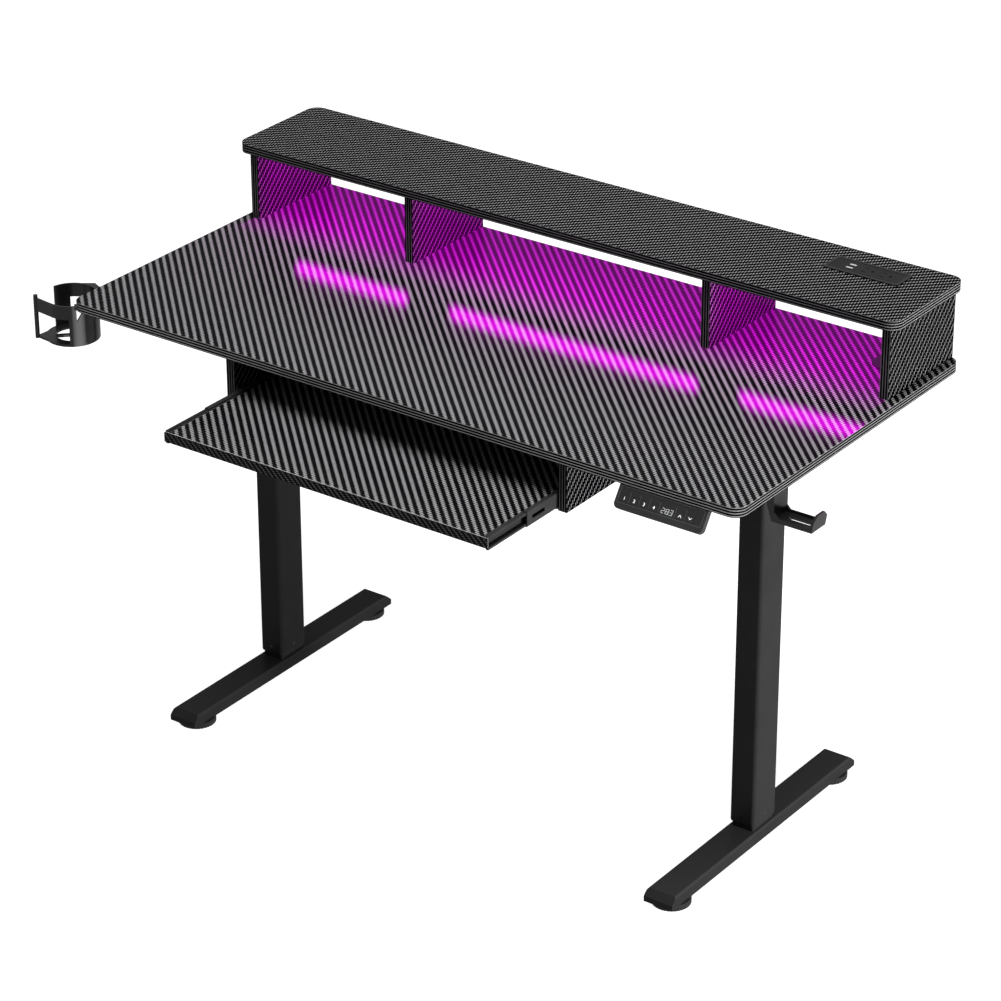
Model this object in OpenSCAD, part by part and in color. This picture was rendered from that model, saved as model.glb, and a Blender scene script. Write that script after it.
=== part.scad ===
// Height-adjustable gaming desk with a monitor shelf, light bars, a power module, a keyboard
// tray on ball slides, a cup holder and a headphone hook. Millimetres, +Z up.
// The frame's origin is on the floor, under the middle of the whole object's outline.

/* [Desktop] */
// Width of the desktop from side to side
desk_w = 1200; // [1100:10:1500]
// Depth of the desktop from front to back
desk_d = 600; // [560:10:700]
// Thickness of every laminated board
board_t = 15; // [12:1:20]
// Height of the desktop's top face with the legs drawn in
desk_h = 719; // [690:1:800]
// Corner radius of the desktop
desk_corner_r = 20; // [5:1:60]

/* [Monitor shelf] */
// Depth of the shelf top
shelf_d = 198; // [160:1:240]
// Clear height of the bays under the shelf
shelf_clear = 114; // [90:1:160]
// Corner radius of the shelf top
shelf_corner_r = 20; // [5:1:50]
// How far the shelf top stands out past the end panels
shelf_overhang = 15; // [0:1:40]
// How far the panels stand back from the shelf's front edge
shelf_setback = 14; // [2:1:30]
// Clear width of the middle bay
middle_bay_w = 530; // [400:2:700]

/* [Light bars] */
// Width of a light bar
bar_w = 15; // [10:1:24]
// Height of a light bar
bar_h = 12; // [8:1:20]
// Distance from the shelf's front edge to a light bar
bar_setback = 53; // [20:1:120]
// Length of the two outer light bars
end_bar_l = 213; // [100:1:260]
// Length of the middle light bar
middle_bar_l = 451; // [200:1:500]

/* [Power module] */
// Width of the power module's flange
module_w = 127; // [100:1:180]
// Depth of the power module's flange
module_d = 47; // [40:1:70]
// How deep the module's body reaches below the shelf's top face
module_deep = 40; // [25:1:60]
// Distance from the desk's right edge to the module's centre
module_side = 128.5; // [110:0.5:220]
// Distance from the desk's rear edge to the module's centre
module_back = 61.5; // [40:0.5:90]

/* [Cable grommet] */
// Radius of the grommet's flange
grommet_r = 24; // [18:1:40]
// Distance from the desk's right edge to the grommet's centre
grommet_side = 80; // [60:1:200]
// Distance from the desk's rear edge to the grommet's centre
grommet_back = 74; // [45:1:120]

/* [Keyboard tray] */
// Width of the tray board between its slides
tray_w = 560; // [460:2:620]
// Depth of the tray board
tray_d = 290; // [230:1:320]
// Clear height between the tray's top and the desktop's underside
tray_gap = 58; // [54:1:80]
// How far the tray is pulled out at rest
tray_out = 162; // [0:1:200]
// Height of the two boards that carry the slides
side_board_h = 81; // [72:1:100]
// How far these boards stand back from the desktop's front edge
side_board_setback = 13; // [4:1:30]
// Height of the ball slides
slide_h = 27; // [24:0.5:35]
// Thickness of the ball slides, from board to tray
slide_t = 12.5; // [12:0.1:14]

/* [Legs] */
// Distance between the two columns
leg_spacing = 905; // [850:1:1000]
// How far the legs lift the desktop
lift_travel = 462; // [250:1:470]
// Width of the outer column tube
col_w = 44; // [40:1:60]
// Depth of the outer column tube
col_d = 62; // [56:1:80]
// Wall of the column tubes
col_wall = 1.8; // [1.2:0.1:2.5]
// Gap between a foot and the outer column tube
col_gap = 10; // [4:1:40]
// Length of a foot
foot_l = 512; // [440:2:700]
// Width of a foot
foot_w = 50; // [46:1:80]
// Height of a foot
foot_t = 19; // [17:1:30]
// Height of the feet above the floor
foot_clear = 9; // [7:0.5:16]
// Radius of the levelling glides
glide_r = 30; // [20:1:40]
// Distance from a foot's end to its glide's axis
glide_inset = 36; // [30:1:80]

/* [Underframe] */
// Width of the two cross rails
rail_w = 20; // [16:1:30]
// Height of the two cross rails
rail_h = 35; // [32:1:45]
// Gap between the two cross rails
rail_gap = 54; // [50:1:60]
// Width of the side brackets
bracket_w = 64; // [56:1:80]
// Gap between the controller and the side brackets' front ends
bracket_clear = 8; // [3:1:60]
// Height of the side brackets
bracket_h = 12; // [9:1:20]
// Width of the drive rod across its flats
rod_af = 10; // [8:0.5:10]
// Radius of the lifting spindles
spindle_r = 8; // [7:0.5:9]

/* [Controller] */
// Width of the controller
ctrl_w = 145; // [140:1:180]
// Distance from the desk's right edge to the controller
ctrl_side = 50; // [30:1:200]
// Height of its face along the slope
ctrl_face_l = 35.2; // [30:0.1:45]
// Slope of its face from the horizontal, in degrees
ctrl_slope = 55.4; // [45:0.1:70]
// Distance between neighbouring keys
key_pitch = 16.2; // [15:0.1:18]
// Width of a key
key_w = 14.8; // [10:0.1:14.8]
// Height of a key
key_h = 11.4; // [9:0.1:11.4]
// Travel of a key
key_travel = 0.5; // [0.3:0.1:0.8]

/* [Cup holder] */
// Outer radius of the cup holder's ring
cup_r = 42; // [38:1:50]
// Height of the cup holder
cup_h = 71; // [50:1:100]
// Wall of the cup holder
cup_wall = 3; // [2:0.5:4]
// Distance from the desk's front edge to the ring's centre
cup_front = 47; // [45:1:200]

/* [Headphone hook] */
// Width of the hook
hook_w = 36; // [24:1:60]
// Distance from the desk's front edge to the hook's middle
hook_front = 106.5; // [30:0.5:400]
// How far the hook reaches below the desktop
hook_drop = 39; // [30:1:60]
// Length of the hook's arm from the desk's edge
hook_arm_l = 59; // [40:1:90]
// How far the hook's tip reaches from the desk's edge
hook_out = 65; // [62:1:98]
// Height of the hook's tip above the underside of its arm
hook_tip_h = 25; // [12:1:40]

/* [Hidden] */
$fn = 48;

// One overrun for every cut
over = 1;
// Running fit between a round pin and its hole, on the radius
pin_fit = 0.05;
// Gap between pieces that are pushed together by hand
seat_fit = 0.2;
// Gap between pieces that pass each other
pass_gap = 0.4;

// Levels of the boards
under_z = desk_h - board_t;
shelf_z0 = desk_h + shelf_clear;
shelf_z1 = shelf_z0 + board_t;
desk_front = -desk_d / 2;
desk_back = desk_d / 2;
desk_right = desk_w / 2;
shelf_front = desk_back - shelf_d;
panel_front = shelf_front + shelf_setback;
end_panel_x = desk_right - shelf_overhang - board_t / 2;
divider_x = (middle_bay_w + board_t) / 2;

// Dowels and screws that hold the panels
dowel_r = 4;
dowel_l = 30;
dowel_in_board = 12;
joint_inset = 35;
shelf_screw_r = 3;
shelf_screw_head_r = 5;
shelf_screw_head_h = 3;
shelf_screw_l = 45;
joint_ys = [panel_front + joint_inset, desk_back - joint_inset];

// Screws that hold things to the desktop's underside
screw_r = 2;
screw_bite = 10;
screw_head_r = 4.2;
screw_head_h = 2.5;

// Keyboard tray, its slides and the boards that carry them
slide_gap = 0.4;
slide_wall = 1.2;
slide_r = 3;
slide_lip = 2;
slide_outer_t = 10.5;
slide_middle_setback = 9;
slide_slot_l = 30;
slide_slot_h = 6;
slide_slot_inset = 12;
tray_strip_t = 3;
tray_strip_gap = 0.3;
tray_strip_w = tray_w + 2 * slide_t - 2 * tray_strip_t;
tray_corner_r = 10;
side_rail_gap = 2;
side_front = desk_front + side_board_setback;
side_back = -rail_gap / 2 - rail_w - side_rail_gap;
side_x = tray_w / 2 + slide_t;
slide_l = side_back - side_front;
tray_z1 = under_z - tray_gap;
tray_z0 = tray_z1 - board_t;
slide_rise = 6.5;
slide_z = tray_z0 + slide_rise;
tray_front = side_front - tray_out - tray_strip_gap;

// Feet and glides
foot_z0 = foot_clear;
foot_z1 = foot_z0 + foot_t;
foot_wall = 2.5;
foot_edge_r = 4.5;
foot_bevel_l = 11;
foot_bevel_h = 10;
glide_y = foot_l / 2 - glide_inset;
glide_gap = 0.3;
glide_h = foot_z0 - glide_gap;
glide_rib_r = 1.3;
glide_ribs = 36;
glide_stem_r = 4;
glide_stem_gap = 1.5;
glide_stem_top = foot_z1 - foot_wall - glide_stem_gap;
glide_boss_r = 9;
glide_boss_gap = 3;

// Columns
leg_x = leg_spacing / 2;
col_r = 6;
col_z0 = foot_z1 + col_gap;
head_plate_t = 5;
head_plate_lip = 6;
head_plate_d = rail_gap + 2 * rail_w + head_plate_lip;
rail_z1 = under_z - bracket_h;
rail_z0 = rail_z1 - rail_h;
col_z1 = rail_z0 - head_plate_t;
bush_gap = 1.5;
bush_h = 20;
bush_play = 0.15;
bush_seat = 0.1;
bush_lip = 1.5;
bush_lip_in = 0.6;
bush_pin_r = 3;
bush_pin_z = col_z0 + bush_h / 2;
tube_w = col_w - 2 * col_wall - 2 * bush_gap;
tube_d = col_d - 2 * col_wall - 2 * bush_gap;
tube_r = col_r - col_wall - bush_gap;
tube_top_gap = 49;
tube_z1 = col_z1 - tube_top_gap;
tube_base_t = 6;
foot_bolt_r = 3;
foot_bolt_head_r = 5;
foot_bolt_head_h = 4;
foot_bolt_gap = 0.3;
foot_bolt_dx = 9;
foot_bolt_dy = 18;

// Lifting drive
nut_h = 20;
nut_flange_t = 3;
nut_z0 = tube_z1 - nut_h;
spindle_past = 31;
spindle_z0 = nut_z0 - lift_travel - spindle_past;
journal_r = 6;
journal_gap = 0.5;
journal_l = 14;
spindle_hole_gap = 0.5;
head_w = 62;
head_r = 5;
rod_rise = 22;
rod_z = rail_z0 + rod_rise;
rod_hole_gap = 0.3;
rod_past = 20;
rod_corner_r = rod_af / 2 / cos(30);
rod_hole_r = rod_corner_r + rod_hole_gap;
gearbox_x = -376;
gearbox_w = 48;
gearbox_lip = 3;
worm_drop = 44;
worm_z = rod_z - worm_drop;
worm_case_r = 20;
worm_case_y0 = -34;
worm_case_y1 = 30;
motor_r = 19.5;
motor_l = 86;
motor_flange_r = 21;
motor_flange_t = 3;
motor_cap_r = 15;
motor_cap_t = 6;
rail_wall = 1.5;
rail_r = 2.5;
rail_past = 26;
rail_y = (rail_gap + rail_w) / 2;
frame_bolt_r = 3;
frame_bolt_gap = 0.3;
frame_bolt_head_r = 5;
frame_bolt_head_h = 4;

// Control box under the desktop
box_w = 120;
box_d = 64;
box_h = 28;
box_r = 6;
box_x = 180;
box_y = 150;
box_ear = 12;
box_ear_t = 3;
box_rib = 1.5;

// Controller
ctrl_top_setback = 2;
ctrl_base_d = 40;
ctrl_base_t = 12;
ctrl_slab_t = 9;
ctrl_base_side = 30;
ctrl_corner_r = 8;
ctrl_x0 = desk_right - ctrl_side - ctrl_w;
ctrl_x = ctrl_x0 + ctrl_w / 2;
ctrl_face_y = desk_front + ctrl_top_setback;
ctrl_panel_inset = 4;
ctrl_panel_t = 1.5;
ctrl_panel_top_inset = 2.5;
ctrl_panel_bottom_inset = 9;
ctrl_screw_back = 8;
ctrl_screw_side = 10;
ctrl_base_dx = ctrl_w / 2 - ctrl_base_side;
ctrl_screw_dx = ctrl_base_dx - ctrl_screw_side;
key_gap = 0.3;
key_proud = 0.3;
key_body = 3.6;
key_spare = 0.1;
key_drop = 1.8;
key_first = 14;
display_gap = 42.8;
ctrl_panel_h = ctrl_face_l - ctrl_panel_top_inset - ctrl_panel_bottom_inset;
ctrl_panel_v = (ctrl_panel_bottom_inset - ctrl_panel_top_inset) / 2;
key_xs = [
    for (i = [0 : 3]) key_first + i * key_pitch,
    key_first + 3 * key_pitch + display_gap,
    key_first + 4 * key_pitch + display_gap
];

// Side brackets
bracket_l = 2 * (-(ctrl_face_y + ctrl_base_d) - bracket_clear);
bracket_wall = 2.5;
bracket_ear_l = 24;
bracket_ear_w = 16;
bracket_ear_r = 5;
bracket_ear_inset = 30;
bracket_ear_mid = 90;
bracket_ear_hole_gap = 0.75;
bracket_ear_ys = [
    -bracket_l / 2 + bracket_ear_inset, -bracket_ear_mid,
    bracket_ear_mid, bracket_l / 2 - bracket_ear_inset
];

// Cup holder, in its own plan with the ring's centre at the origin and +X towards the desk
cup_x = -desk_right - cup_r;
cup_y = desk_front + cup_front;
cup_floor_t = 4;
cup_band_h = 22;
cup_rim_drop = 4;
cup_flange_t = 4;
cup_wing_x = 41;
cup_wing_y = 36;
cup_post_r = 3.5;
cup_tangent_a = 261;
cup_back_a = 172;
cup_post_a = 135;
cup_rear_window_a = 60;
cup_front_window_a = 305;
cup_front_end_a = 380;
cup_notch_a0 = 322;
cup_notch_a1 = 350;
cup_notch_h = 30;
cup_spoke_w = 6;
cup_hub_r = 7;
cup_slot_r = 27;
cup_shoulder_a = 124;
cup_shoulder_x = 3;
cup_shoulder_y = 52;
cup_chamfer_x = 22;
cup_chamfer_y = 43.5;
cup_flange_in = 36;
cup_screw_in = 20;
cup_screw_dy = 28;

// Headphone hook, from the desk's right edge outwards
hook_t = 4;
hook_rib_t = 3;
hook_rib_h = 7;
hook_rib_in = 15;
hook_rib_fillet = 6;
hook_flange_l = 40;
hook_slot_w = 8;
hook_slot_x0 = 18;
hook_slot_x1 = 50;
hook_chamfer = 9;
hook_screw_in = 30;
hook_screw_dy = 9;
hook_y = desk_front + hook_front;

// The whole outline in the desk's own frame, and the shift that centres it on the origin
reach_left = desk_right + cup_r + cup_wing_x + cup_post_r;
reach_right = desk_right + hook_out;
reach_front = -(tray_front - tray_strip_t);
reach_back = desk_back;
desk_x = (reach_left - reach_right) / 2;
desk_y = (reach_front - reach_back) / 2;

// Places the desk's own frame, whose origin is under the middle of the desktop
module at_desk() { translate([desk_x, desk_y, 0]) children(); }

// A block between two opposite corners
module span(low, high) { translate(low) cube(high - low); }

// A flat rectangle with true arcs at its corners
module rounded_rect(w, d, r) {
    square([w - 2 * r, d], center = true);
    square([w, d - 2 * r], center = true);
    for (sx = [-1, 1], sy = [-1, 1])
        translate([sx * (w / 2 - r), sy * (d / 2 - r)]) circle(r);
}

// A rectangular tube standing on the floor plane
module rect_tube(w, d, h, r, wall) {
    linear_extrude(h) difference() {
        rounded_rect(w, d, r);
        rounded_rect(w - 2 * wall, d - 2 * wall, r - wall);
    }
}

// A bar along X, Y or Z from a point
module along_x(l) { rotate([0, 90, 0]) linear_extrude(l) children(); }
module along_y(l) { rotate([-90, 0, 0]) linear_extrude(l) children(); }

// Corners of a pie slice, for cutting a ring between two angles
slice_steps = 6;
function slice(r, a0, a1) = concat(
    [[0, 0]],
    [for (i = [0 : slice_steps]) let (a = a0 + (a1 - a0) * i / slice_steps) r * [cos(a), sin(a)]]
);

// Feet: a channel that is open below, with rounded top edges and bevelled ends
module foot_form(w, l, h, r, bevel_l, bevel_h) {
    intersection() {
        rotate([90, 0, 0]) linear_extrude(l, center = true) {
            translate([-w / 2, 0]) square([w, h - r]);
            translate([-w / 2 + r, 0]) square([w - 2 * r, h]);
            for (s = [-1, 1]) translate([s * (w / 2 - r), h - r]) circle(r);
        }
        rotate([90, 0, 90]) linear_extrude(w, center = true) polygon([
            [-l / 2, 0], [l / 2, 0], [l / 2, h - bevel_h], [l / 2 - bevel_l, h],
            [-l / 2 + bevel_l, h], [-l / 2, h - bevel_h]
        ]);
    }
}

module foot(side) {
    color("#1c1c1d") at_desk() translate([side * leg_x, 0, foot_z0]) difference() {
        union() {
            difference() {
                foot_form(foot_w, foot_l, foot_t, foot_edge_r, foot_bevel_l, foot_bevel_h);
                translate([0, 0, -over]) foot_form(
                    foot_w - 2 * foot_wall, foot_l - 2 * foot_wall, foot_t - foot_wall + over,
                    foot_edge_r - foot_wall, foot_bevel_l, foot_bevel_h
                );
            }
            for (s = [-1, 1]) translate([0, s * glide_y, glide_boss_gap])
                cylinder(r = glide_boss_r, h = foot_t - foot_wall - glide_boss_gap);
        }
        for (s = [-1, 1]) translate([0, s * glide_y, -over])
            cylinder(r = glide_stem_r + pin_fit, h = foot_t - foot_wall + over);
        for (sx = [-1, 1], sy = [-1, 1])
            translate([sx * foot_bolt_dx, sy * foot_bolt_dy, foot_t - foot_wall - over])
                cylinder(r = foot_bolt_r + foot_bolt_gap, h = foot_wall + 2 * over);
    }
}

// Levelling glide: a ribbed pad moulded round the head of its threaded stem
glide_edge = 1.5;
module glide(side, end) {
    color("#161617") at_desk() translate([side * leg_x, end * glide_y, 0]) {
        difference() {
            union() {
                cylinder(r = glide_r, h = glide_h - glide_edge);
                translate([0, 0, glide_h - glide_edge])
                    cylinder(r1 = glide_r, r2 = glide_r - glide_edge, h = glide_edge);
            }
            for (i = [1 : glide_ribs]) rotate(i * 360 / glide_ribs)
                translate([glide_r + glide_rib_r / 2, 0, -over])
                    cylinder(r = glide_rib_r, h = glide_h + 2 * over);
        }
        translate([0, 0, glide_h - glide_edge])
            cylinder(r = glide_stem_r, h = glide_stem_top - glide_h + glide_edge);
    }
}

module foot_bolts(side) {
    color("#3a3a3c") at_desk() for (sx = [-1, 1], sy = [-1, 1])
        translate([side * leg_x + sx * foot_bolt_dx, sy * foot_bolt_dy, foot_z1 - foot_wall]) {
            translate([0, 0, -foot_bolt_head_h])
                cylinder(r = foot_bolt_head_r, h = foot_bolt_head_h);
            cylinder(r = foot_bolt_r, h = foot_wall + tube_base_t);
        }
}

// Inner tube: stands on the foot and stays with it
module inner_tube(side) {
    color("#1a1a1b") at_desk() translate([side * leg_x, 0, foot_z1]) difference() {
        union() {
            rect_tube(tube_w, tube_d, tube_z1 - foot_z1, tube_r, col_wall);
            linear_extrude(tube_base_t)
                rounded_rect(tube_w - 2 * col_wall, tube_d - 2 * col_wall, tube_r - col_wall);
        }
        for (sx = [-1, 1], sy = [-1, 1])
            translate([sx * foot_bolt_dx, sy * foot_bolt_dy, -over])
                cylinder(r = foot_bolt_r + pin_fit, h = tube_base_t + 2 * over);
    }
}

// Outer tube: hangs from the underframe by its head plate and slides over the inner tube
module outer_tube(side) {
    color("#1c1c1d") at_desk() translate([side * leg_x, 0, 0]) difference() {
        union() {
            translate([0, 0, col_z0]) rect_tube(col_w, col_d, col_z1 - col_z0, col_r, col_wall);
            translate([0, 0, col_z1]) linear_extrude(head_plate_t)
                rounded_rect(head_w, head_plate_d, head_r);
        }
        translate([0, 0, col_z1 - over])
            cylinder(r = spindle_r + spindle_hole_gap, h = head_plate_t + 2 * over);
        for (s = [-1, 1]) translate([0, s * rail_y, col_z1 - over])
            cylinder(r = frame_bolt_r + pin_fit, h = head_plate_t + 2 * over);
        translate([-col_w / 2 - over, 0, bush_pin_z]) along_x(col_w + 2 * over)
            circle(bush_pin_r + pin_fit);
        translate([0, -col_d / 2 - over, bush_pin_z]) along_y(col_d + 2 * over)
            circle(bush_pin_r + pin_fit);
    }
}

// Lower guide bush: a sleeve held in the outer tube by four round pins, with a lip below the tube
module lower_bush(side) {
    sleeve_w = col_w - 2 * col_wall - 2 * bush_seat;
    sleeve_d = col_d - 2 * col_wall - 2 * bush_seat;
    bore_w = tube_w + 2 * bush_play;
    bore_d = tube_d + 2 * bush_play;
    translate([side * leg_x, 0, 0]) difference() {
        union() {
            translate([0, 0, col_z0]) linear_extrude(bush_h)
                rounded_rect(sleeve_w, sleeve_d, col_r - col_wall);
            translate([0, 0, col_z0 - bush_lip]) linear_extrude(bush_lip)
                rounded_rect(col_w - 2 * bush_lip_in, col_d - 2 * bush_lip_in, col_r - bush_lip_in);
            translate([-col_w / 2, 0, bush_pin_z]) along_x(col_w) circle(bush_pin_r);
            translate([0, -col_d / 2, bush_pin_z]) along_y(col_d) circle(bush_pin_r);
        }
        translate([0, 0, col_z0 - bush_lip - over]) linear_extrude(bush_h + bush_lip + 2 * over)
            rounded_rect(bore_w, bore_d, tube_r + bush_play);
    }
}
module lower_bushes() { color("#0f0f10") at_desk() for (side = [-1, 1]) lower_bush(side); }

// Upper guide bush: a sleeve on the inner tube's top end
module upper_bush(side) {
    color("#0f0f10") at_desk() translate([side * leg_x, 0, tube_z1 - bush_h])
        linear_extrude(bush_h) difference() {
            rounded_rect(
                col_w - 2 * col_wall - 2 * bush_play, col_d - 2 * col_wall - 2 * bush_play,
                col_r - col_wall - bush_play
            );
            rounded_rect(tube_w + 2 * bush_seat, tube_d + 2 * bush_seat, tube_r + bush_seat);
        }
}

// Nut block: fills the inner tube's top and seats on its rim by a flange
module spindle_nut(side) {
    plug_w = tube_w - 2 * col_wall - 2 * bush_seat;
    plug_d = tube_d - 2 * col_wall - 2 * bush_seat;
    color("#b08d3c") at_desk() translate([side * leg_x, 0, nut_z0]) difference() {
        union() {
            linear_extrude(nut_h) rounded_rect(plug_w, plug_d, tube_r - col_wall);
            translate([0, 0, nut_h]) linear_extrude(nut_flange_t)
                rounded_rect(tube_w, tube_d, tube_r);
        }
        translate([0, 0, -over])
            cylinder(r = spindle_r + pin_fit, h = nut_h + nut_flange_t + 2 * over);
    }
}

// Lifting spindle: turns in the gear housing and screws through the nut below it
module spindle(side) {
    color("#8d9094") at_desk() translate([side * leg_x, 0, spindle_z0]) {
        cylinder(r = spindle_r, h = col_z1 - spindle_z0);
        cylinder(r = journal_r, h = rail_z0 - spindle_z0 + journal_l - journal_gap);
    }
}

// Gear housing: sits between the rails on the head plate, with the rod through it
rod_bore_l = head_w + 2 * over;
module gear_housing(side) {
    color("#2a2b2d") at_desk() translate([side * leg_x, 0, rail_z0]) difference() {
        linear_extrude(rail_h) rounded_rect(head_w, rail_gap, head_r);
        translate([0, 0, -over]) cylinder(r = journal_r + pin_fit, h = journal_l + over);
        translate([-head_w / 2 - over, 0, rod_rise]) along_x(rod_bore_l) circle(rod_hole_r);
    }
}

// Hexagonal rod that carries the motor's turn to both gear housings
module drive_rod() {
    color("#8d9094") at_desk() translate([-leg_x - rod_past, 0, rod_z])
        rotate([0, 90, 0]) cylinder(r = rod_corner_r, h = leg_spacing + 2 * rod_past, $fn = 6);
}

// Worm gearbox: clamped between the rails, with the worm's case below the rod
module motor_gearbox() {
    block_z1 = rail_h - gearbox_lip;
    color("#2a2b2d") at_desk() translate([gearbox_x, 0, 0]) difference() {
        union() {
            span(
                [-gearbox_w / 2, -rail_gap / 2, rail_z0 + gearbox_lip],
                [gearbox_w / 2, rail_gap / 2, rail_z0 + block_z1]
            );
            span(
                [-worm_case_r, -rail_gap / 2 + gearbox_lip, worm_z],
                [worm_case_r, rail_gap / 2 - gearbox_lip, rail_z0 + gearbox_lip + over]
            );
            translate([0, worm_case_y0, worm_z]) along_y(worm_case_y1 - worm_case_y0)
                circle(worm_case_r);
        }
        translate([-gearbox_w / 2 - over, 0, rod_z]) along_x(gearbox_w + 2 * over)
            circle(rod_hole_r);
    }
}

// Motor: flange, can and rear cap on the worm's axis
module motor() {
    color("#4c4e52") at_desk() translate([gearbox_x, worm_case_y1, worm_z]) {
        along_y(motor_flange_t) circle(motor_flange_r);
        along_y(motor_l) circle(motor_r);
        translate([0, motor_l, 0]) along_y(motor_cap_t) circle(motor_cap_r);
    }
}

// Side brackets: channels under the desktop's ends, with ears for the screws
module side_bracket(side) {
    ear_x = bracket_w / 2 + bracket_ear_w / 2 - bracket_ear_r / 2;
    translate([side * leg_x, 0, rail_z1]) difference() {
        union() {
            difference() {
                span([-bracket_w / 2, -bracket_l / 2, 0], [bracket_w / 2, bracket_l / 2, bracket_h]);
                span(
                    [-bracket_w / 2 + bracket_wall, -bracket_l / 2 - over, bracket_wall],
                    [bracket_w / 2 - bracket_wall, bracket_l / 2 + over, bracket_h + over]
                );
            }
            for (s = [-1, 1], y = bracket_ear_ys)
                translate([s * ear_x, y, bracket_h - bracket_wall]) linear_extrude(bracket_wall)
                    rounded_rect(bracket_ear_w + bracket_ear_r, bracket_ear_l, bracket_ear_r);
        }
        for (s = [-1, 1], y = bracket_ear_ys)
            translate([s * bracket_screw_dx, y, bracket_h - bracket_wall - over])
                cylinder(r = screw_r + bracket_ear_hole_gap, h = bracket_wall + 2 * over);
        for (s = [-1, 1]) translate([0, s * rail_y, -over])
            cylinder(r = frame_bolt_r + frame_bolt_gap, h = bracket_wall + 2 * over);
    }
}
bracket_screw_dx = bracket_w / 2 + bracket_ear_w / 2;
module side_brackets() { color("#1c1c1d") at_desk() for (side = [-1, 1]) side_bracket(side); }

// Cross rails: two rectangular tubes that join the legs
module cross_rails() {
    rail_l = leg_spacing + 2 * rail_past;
    color("#1c1c1d") at_desk() for (s = [-1, 1]) difference() {
        translate([-rail_l / 2, s * rail_y, rail_z0 + rail_h / 2]) along_x(rail_l) difference() {
            rounded_rect(rail_h, rail_w, rail_r);
            rounded_rect(rail_h - 2 * rail_wall, rail_w - 2 * rail_wall, rail_r - rail_wall);
        }
        for (side = [-1, 1]) translate([side * leg_x, s * rail_y, rail_z0 - over])
            cylinder(r = frame_bolt_r + frame_bolt_gap, h = rail_h + 2 * over);
    }
}

// Bolts that clamp bracket, rail and head plate together
module frame_bolts() {
    color("#3a3a3c") at_desk() for (side = [-1, 1], s = [-1, 1])
        translate([side * leg_x, s * rail_y, 0]) {
            translate([0, 0, rail_z1 + bracket_wall])
                cylinder(r = frame_bolt_head_r, h = frame_bolt_head_h);
            translate([0, 0, col_z1]) cylinder(r = frame_bolt_r, h = rail_z1 + bracket_wall - col_z1);
        }
}

// Places of every screw that goes up into the desktop: plan place and thickness of what it holds
underside_places = [
    for (side = [-1, 1], s = [-1, 1], y = bracket_ear_ys)
        [side * leg_x + s * bracket_screw_dx, y, bracket_wall],
    for (s = [-1, 1]) [box_x + s * (box_w / 2 + box_ear / 2), box_y, box_ear_t],
    for (s = [-1, 1])
        [ctrl_x + s * ctrl_screw_dx, ctrl_face_y + ctrl_base_d - ctrl_screw_back, ctrl_base_t],
    for (s = [-1, 1]) [-desk_right + cup_screw_in, cup_y + s * cup_screw_dy, cup_flange_t],
    for (s = [-1, 1]) [desk_right - hook_screw_in, hook_y + s * hook_screw_dy, hook_t]
];
module underside_screws() {
    color("#3a3a3c") at_desk() for (p = underside_places)
        translate([p[0], p[1], under_z - p[2]]) {
            translate([0, 0, -screw_head_h]) cylinder(r = screw_head_r, h = screw_head_h);
            cylinder(r = screw_r, h = p[2] + screw_bite);
        }
}
module screw_hole(p, t) {
    translate([p[0], p[1], under_z - t - over]) cylinder(r = screw_r + pin_fit, h = t + 2 * over);
}

// Joints of the shelf panels: a screw from below and a dowel above, two of each to a panel
panel_xs = [-end_panel_x, -divider_x, divider_x, end_panel_x];
module shelf_screw(gap) {
    translate([0, 0, -gap]) {
        cylinder(r = shelf_screw_r + gap, h = shelf_screw_l + 2 * gap);
        cylinder(
            r1 = shelf_screw_head_r + gap, r2 = shelf_screw_r + gap, h = shelf_screw_head_h + gap
        );
    }
}
module shelf_screws() {
    color("#3a3a3c") at_desk() for (x = panel_xs, y = joint_ys)
        translate([x, y, under_z]) shelf_screw(0);
}
side_joint_ys = [side_front + joint_inset, side_back - joint_inset];
side_panel_x = side_x + board_t / 2;
module dowel_set(r, l, lower) {
    for (x = panel_xs, y = joint_ys) translate([x, y, shelf_z0 + dowel_in_board - l]) cylinder(r = r, h = l);
    for (s = [-1, 1], y = side_joint_ys)
        translate([s * side_panel_x, y, under_z + dowel_in_board - l]) cylinder(r = r, h = l);
}
module dowels() { color("#c9a66b") at_desk() dowel_set(dowel_r, dowel_l); }
module dowel_holes() {
    translate([0, 0, pass_gap / 2]) dowel_set(dowel_r + pin_fit, dowel_l + pass_gap);
}

// Desktop board
module desktop() {
    color("#2b2b2d") at_desk() difference() {
        translate([0, 0, under_z]) linear_extrude(board_t)
            rounded_rect(desk_w, desk_d, desk_corner_r);
        translate([desk_right - grommet_side, desk_back - grommet_back, under_z - over])
            cylinder(r = grommet_hole_r, h = board_t + 2 * over);
        for (x = panel_xs, y = joint_ys) translate([x, y, under_z]) shelf_screw(pin_fit);
        for (p = underside_places) translate([0, 0, screw_bite]) screw_hole(p, screw_bite);
        dowel_holes();
    }
}

// Monitor shelf: top board, two end panels and two dividers
module shelf_top() {
    color("#2b2b2d") at_desk() difference() {
        translate([0, desk_back - shelf_d / 2, shelf_z0]) linear_extrude(board_t)
            rounded_rect(desk_w, shelf_d, shelf_corner_r);
        translate([module_x, module_y, shelf_z0 - over]) linear_extrude(board_t + 2 * over)
            rounded_rect(
                module_body_w + 2 * seat_fit, module_body_d + 2 * seat_fit, module_r + seat_fit
            );
        dowel_holes();
    }
}
module shelf_board(x) {
    color("#2b2b2d") at_desk() difference() {
        span([x - board_t / 2, panel_front, desk_h], [x + board_t / 2, desk_back, shelf_z0]);
        for (y = joint_ys) translate([x, y, under_z]) shelf_screw(pin_fit);
        dowel_holes();
    }
}

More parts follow.
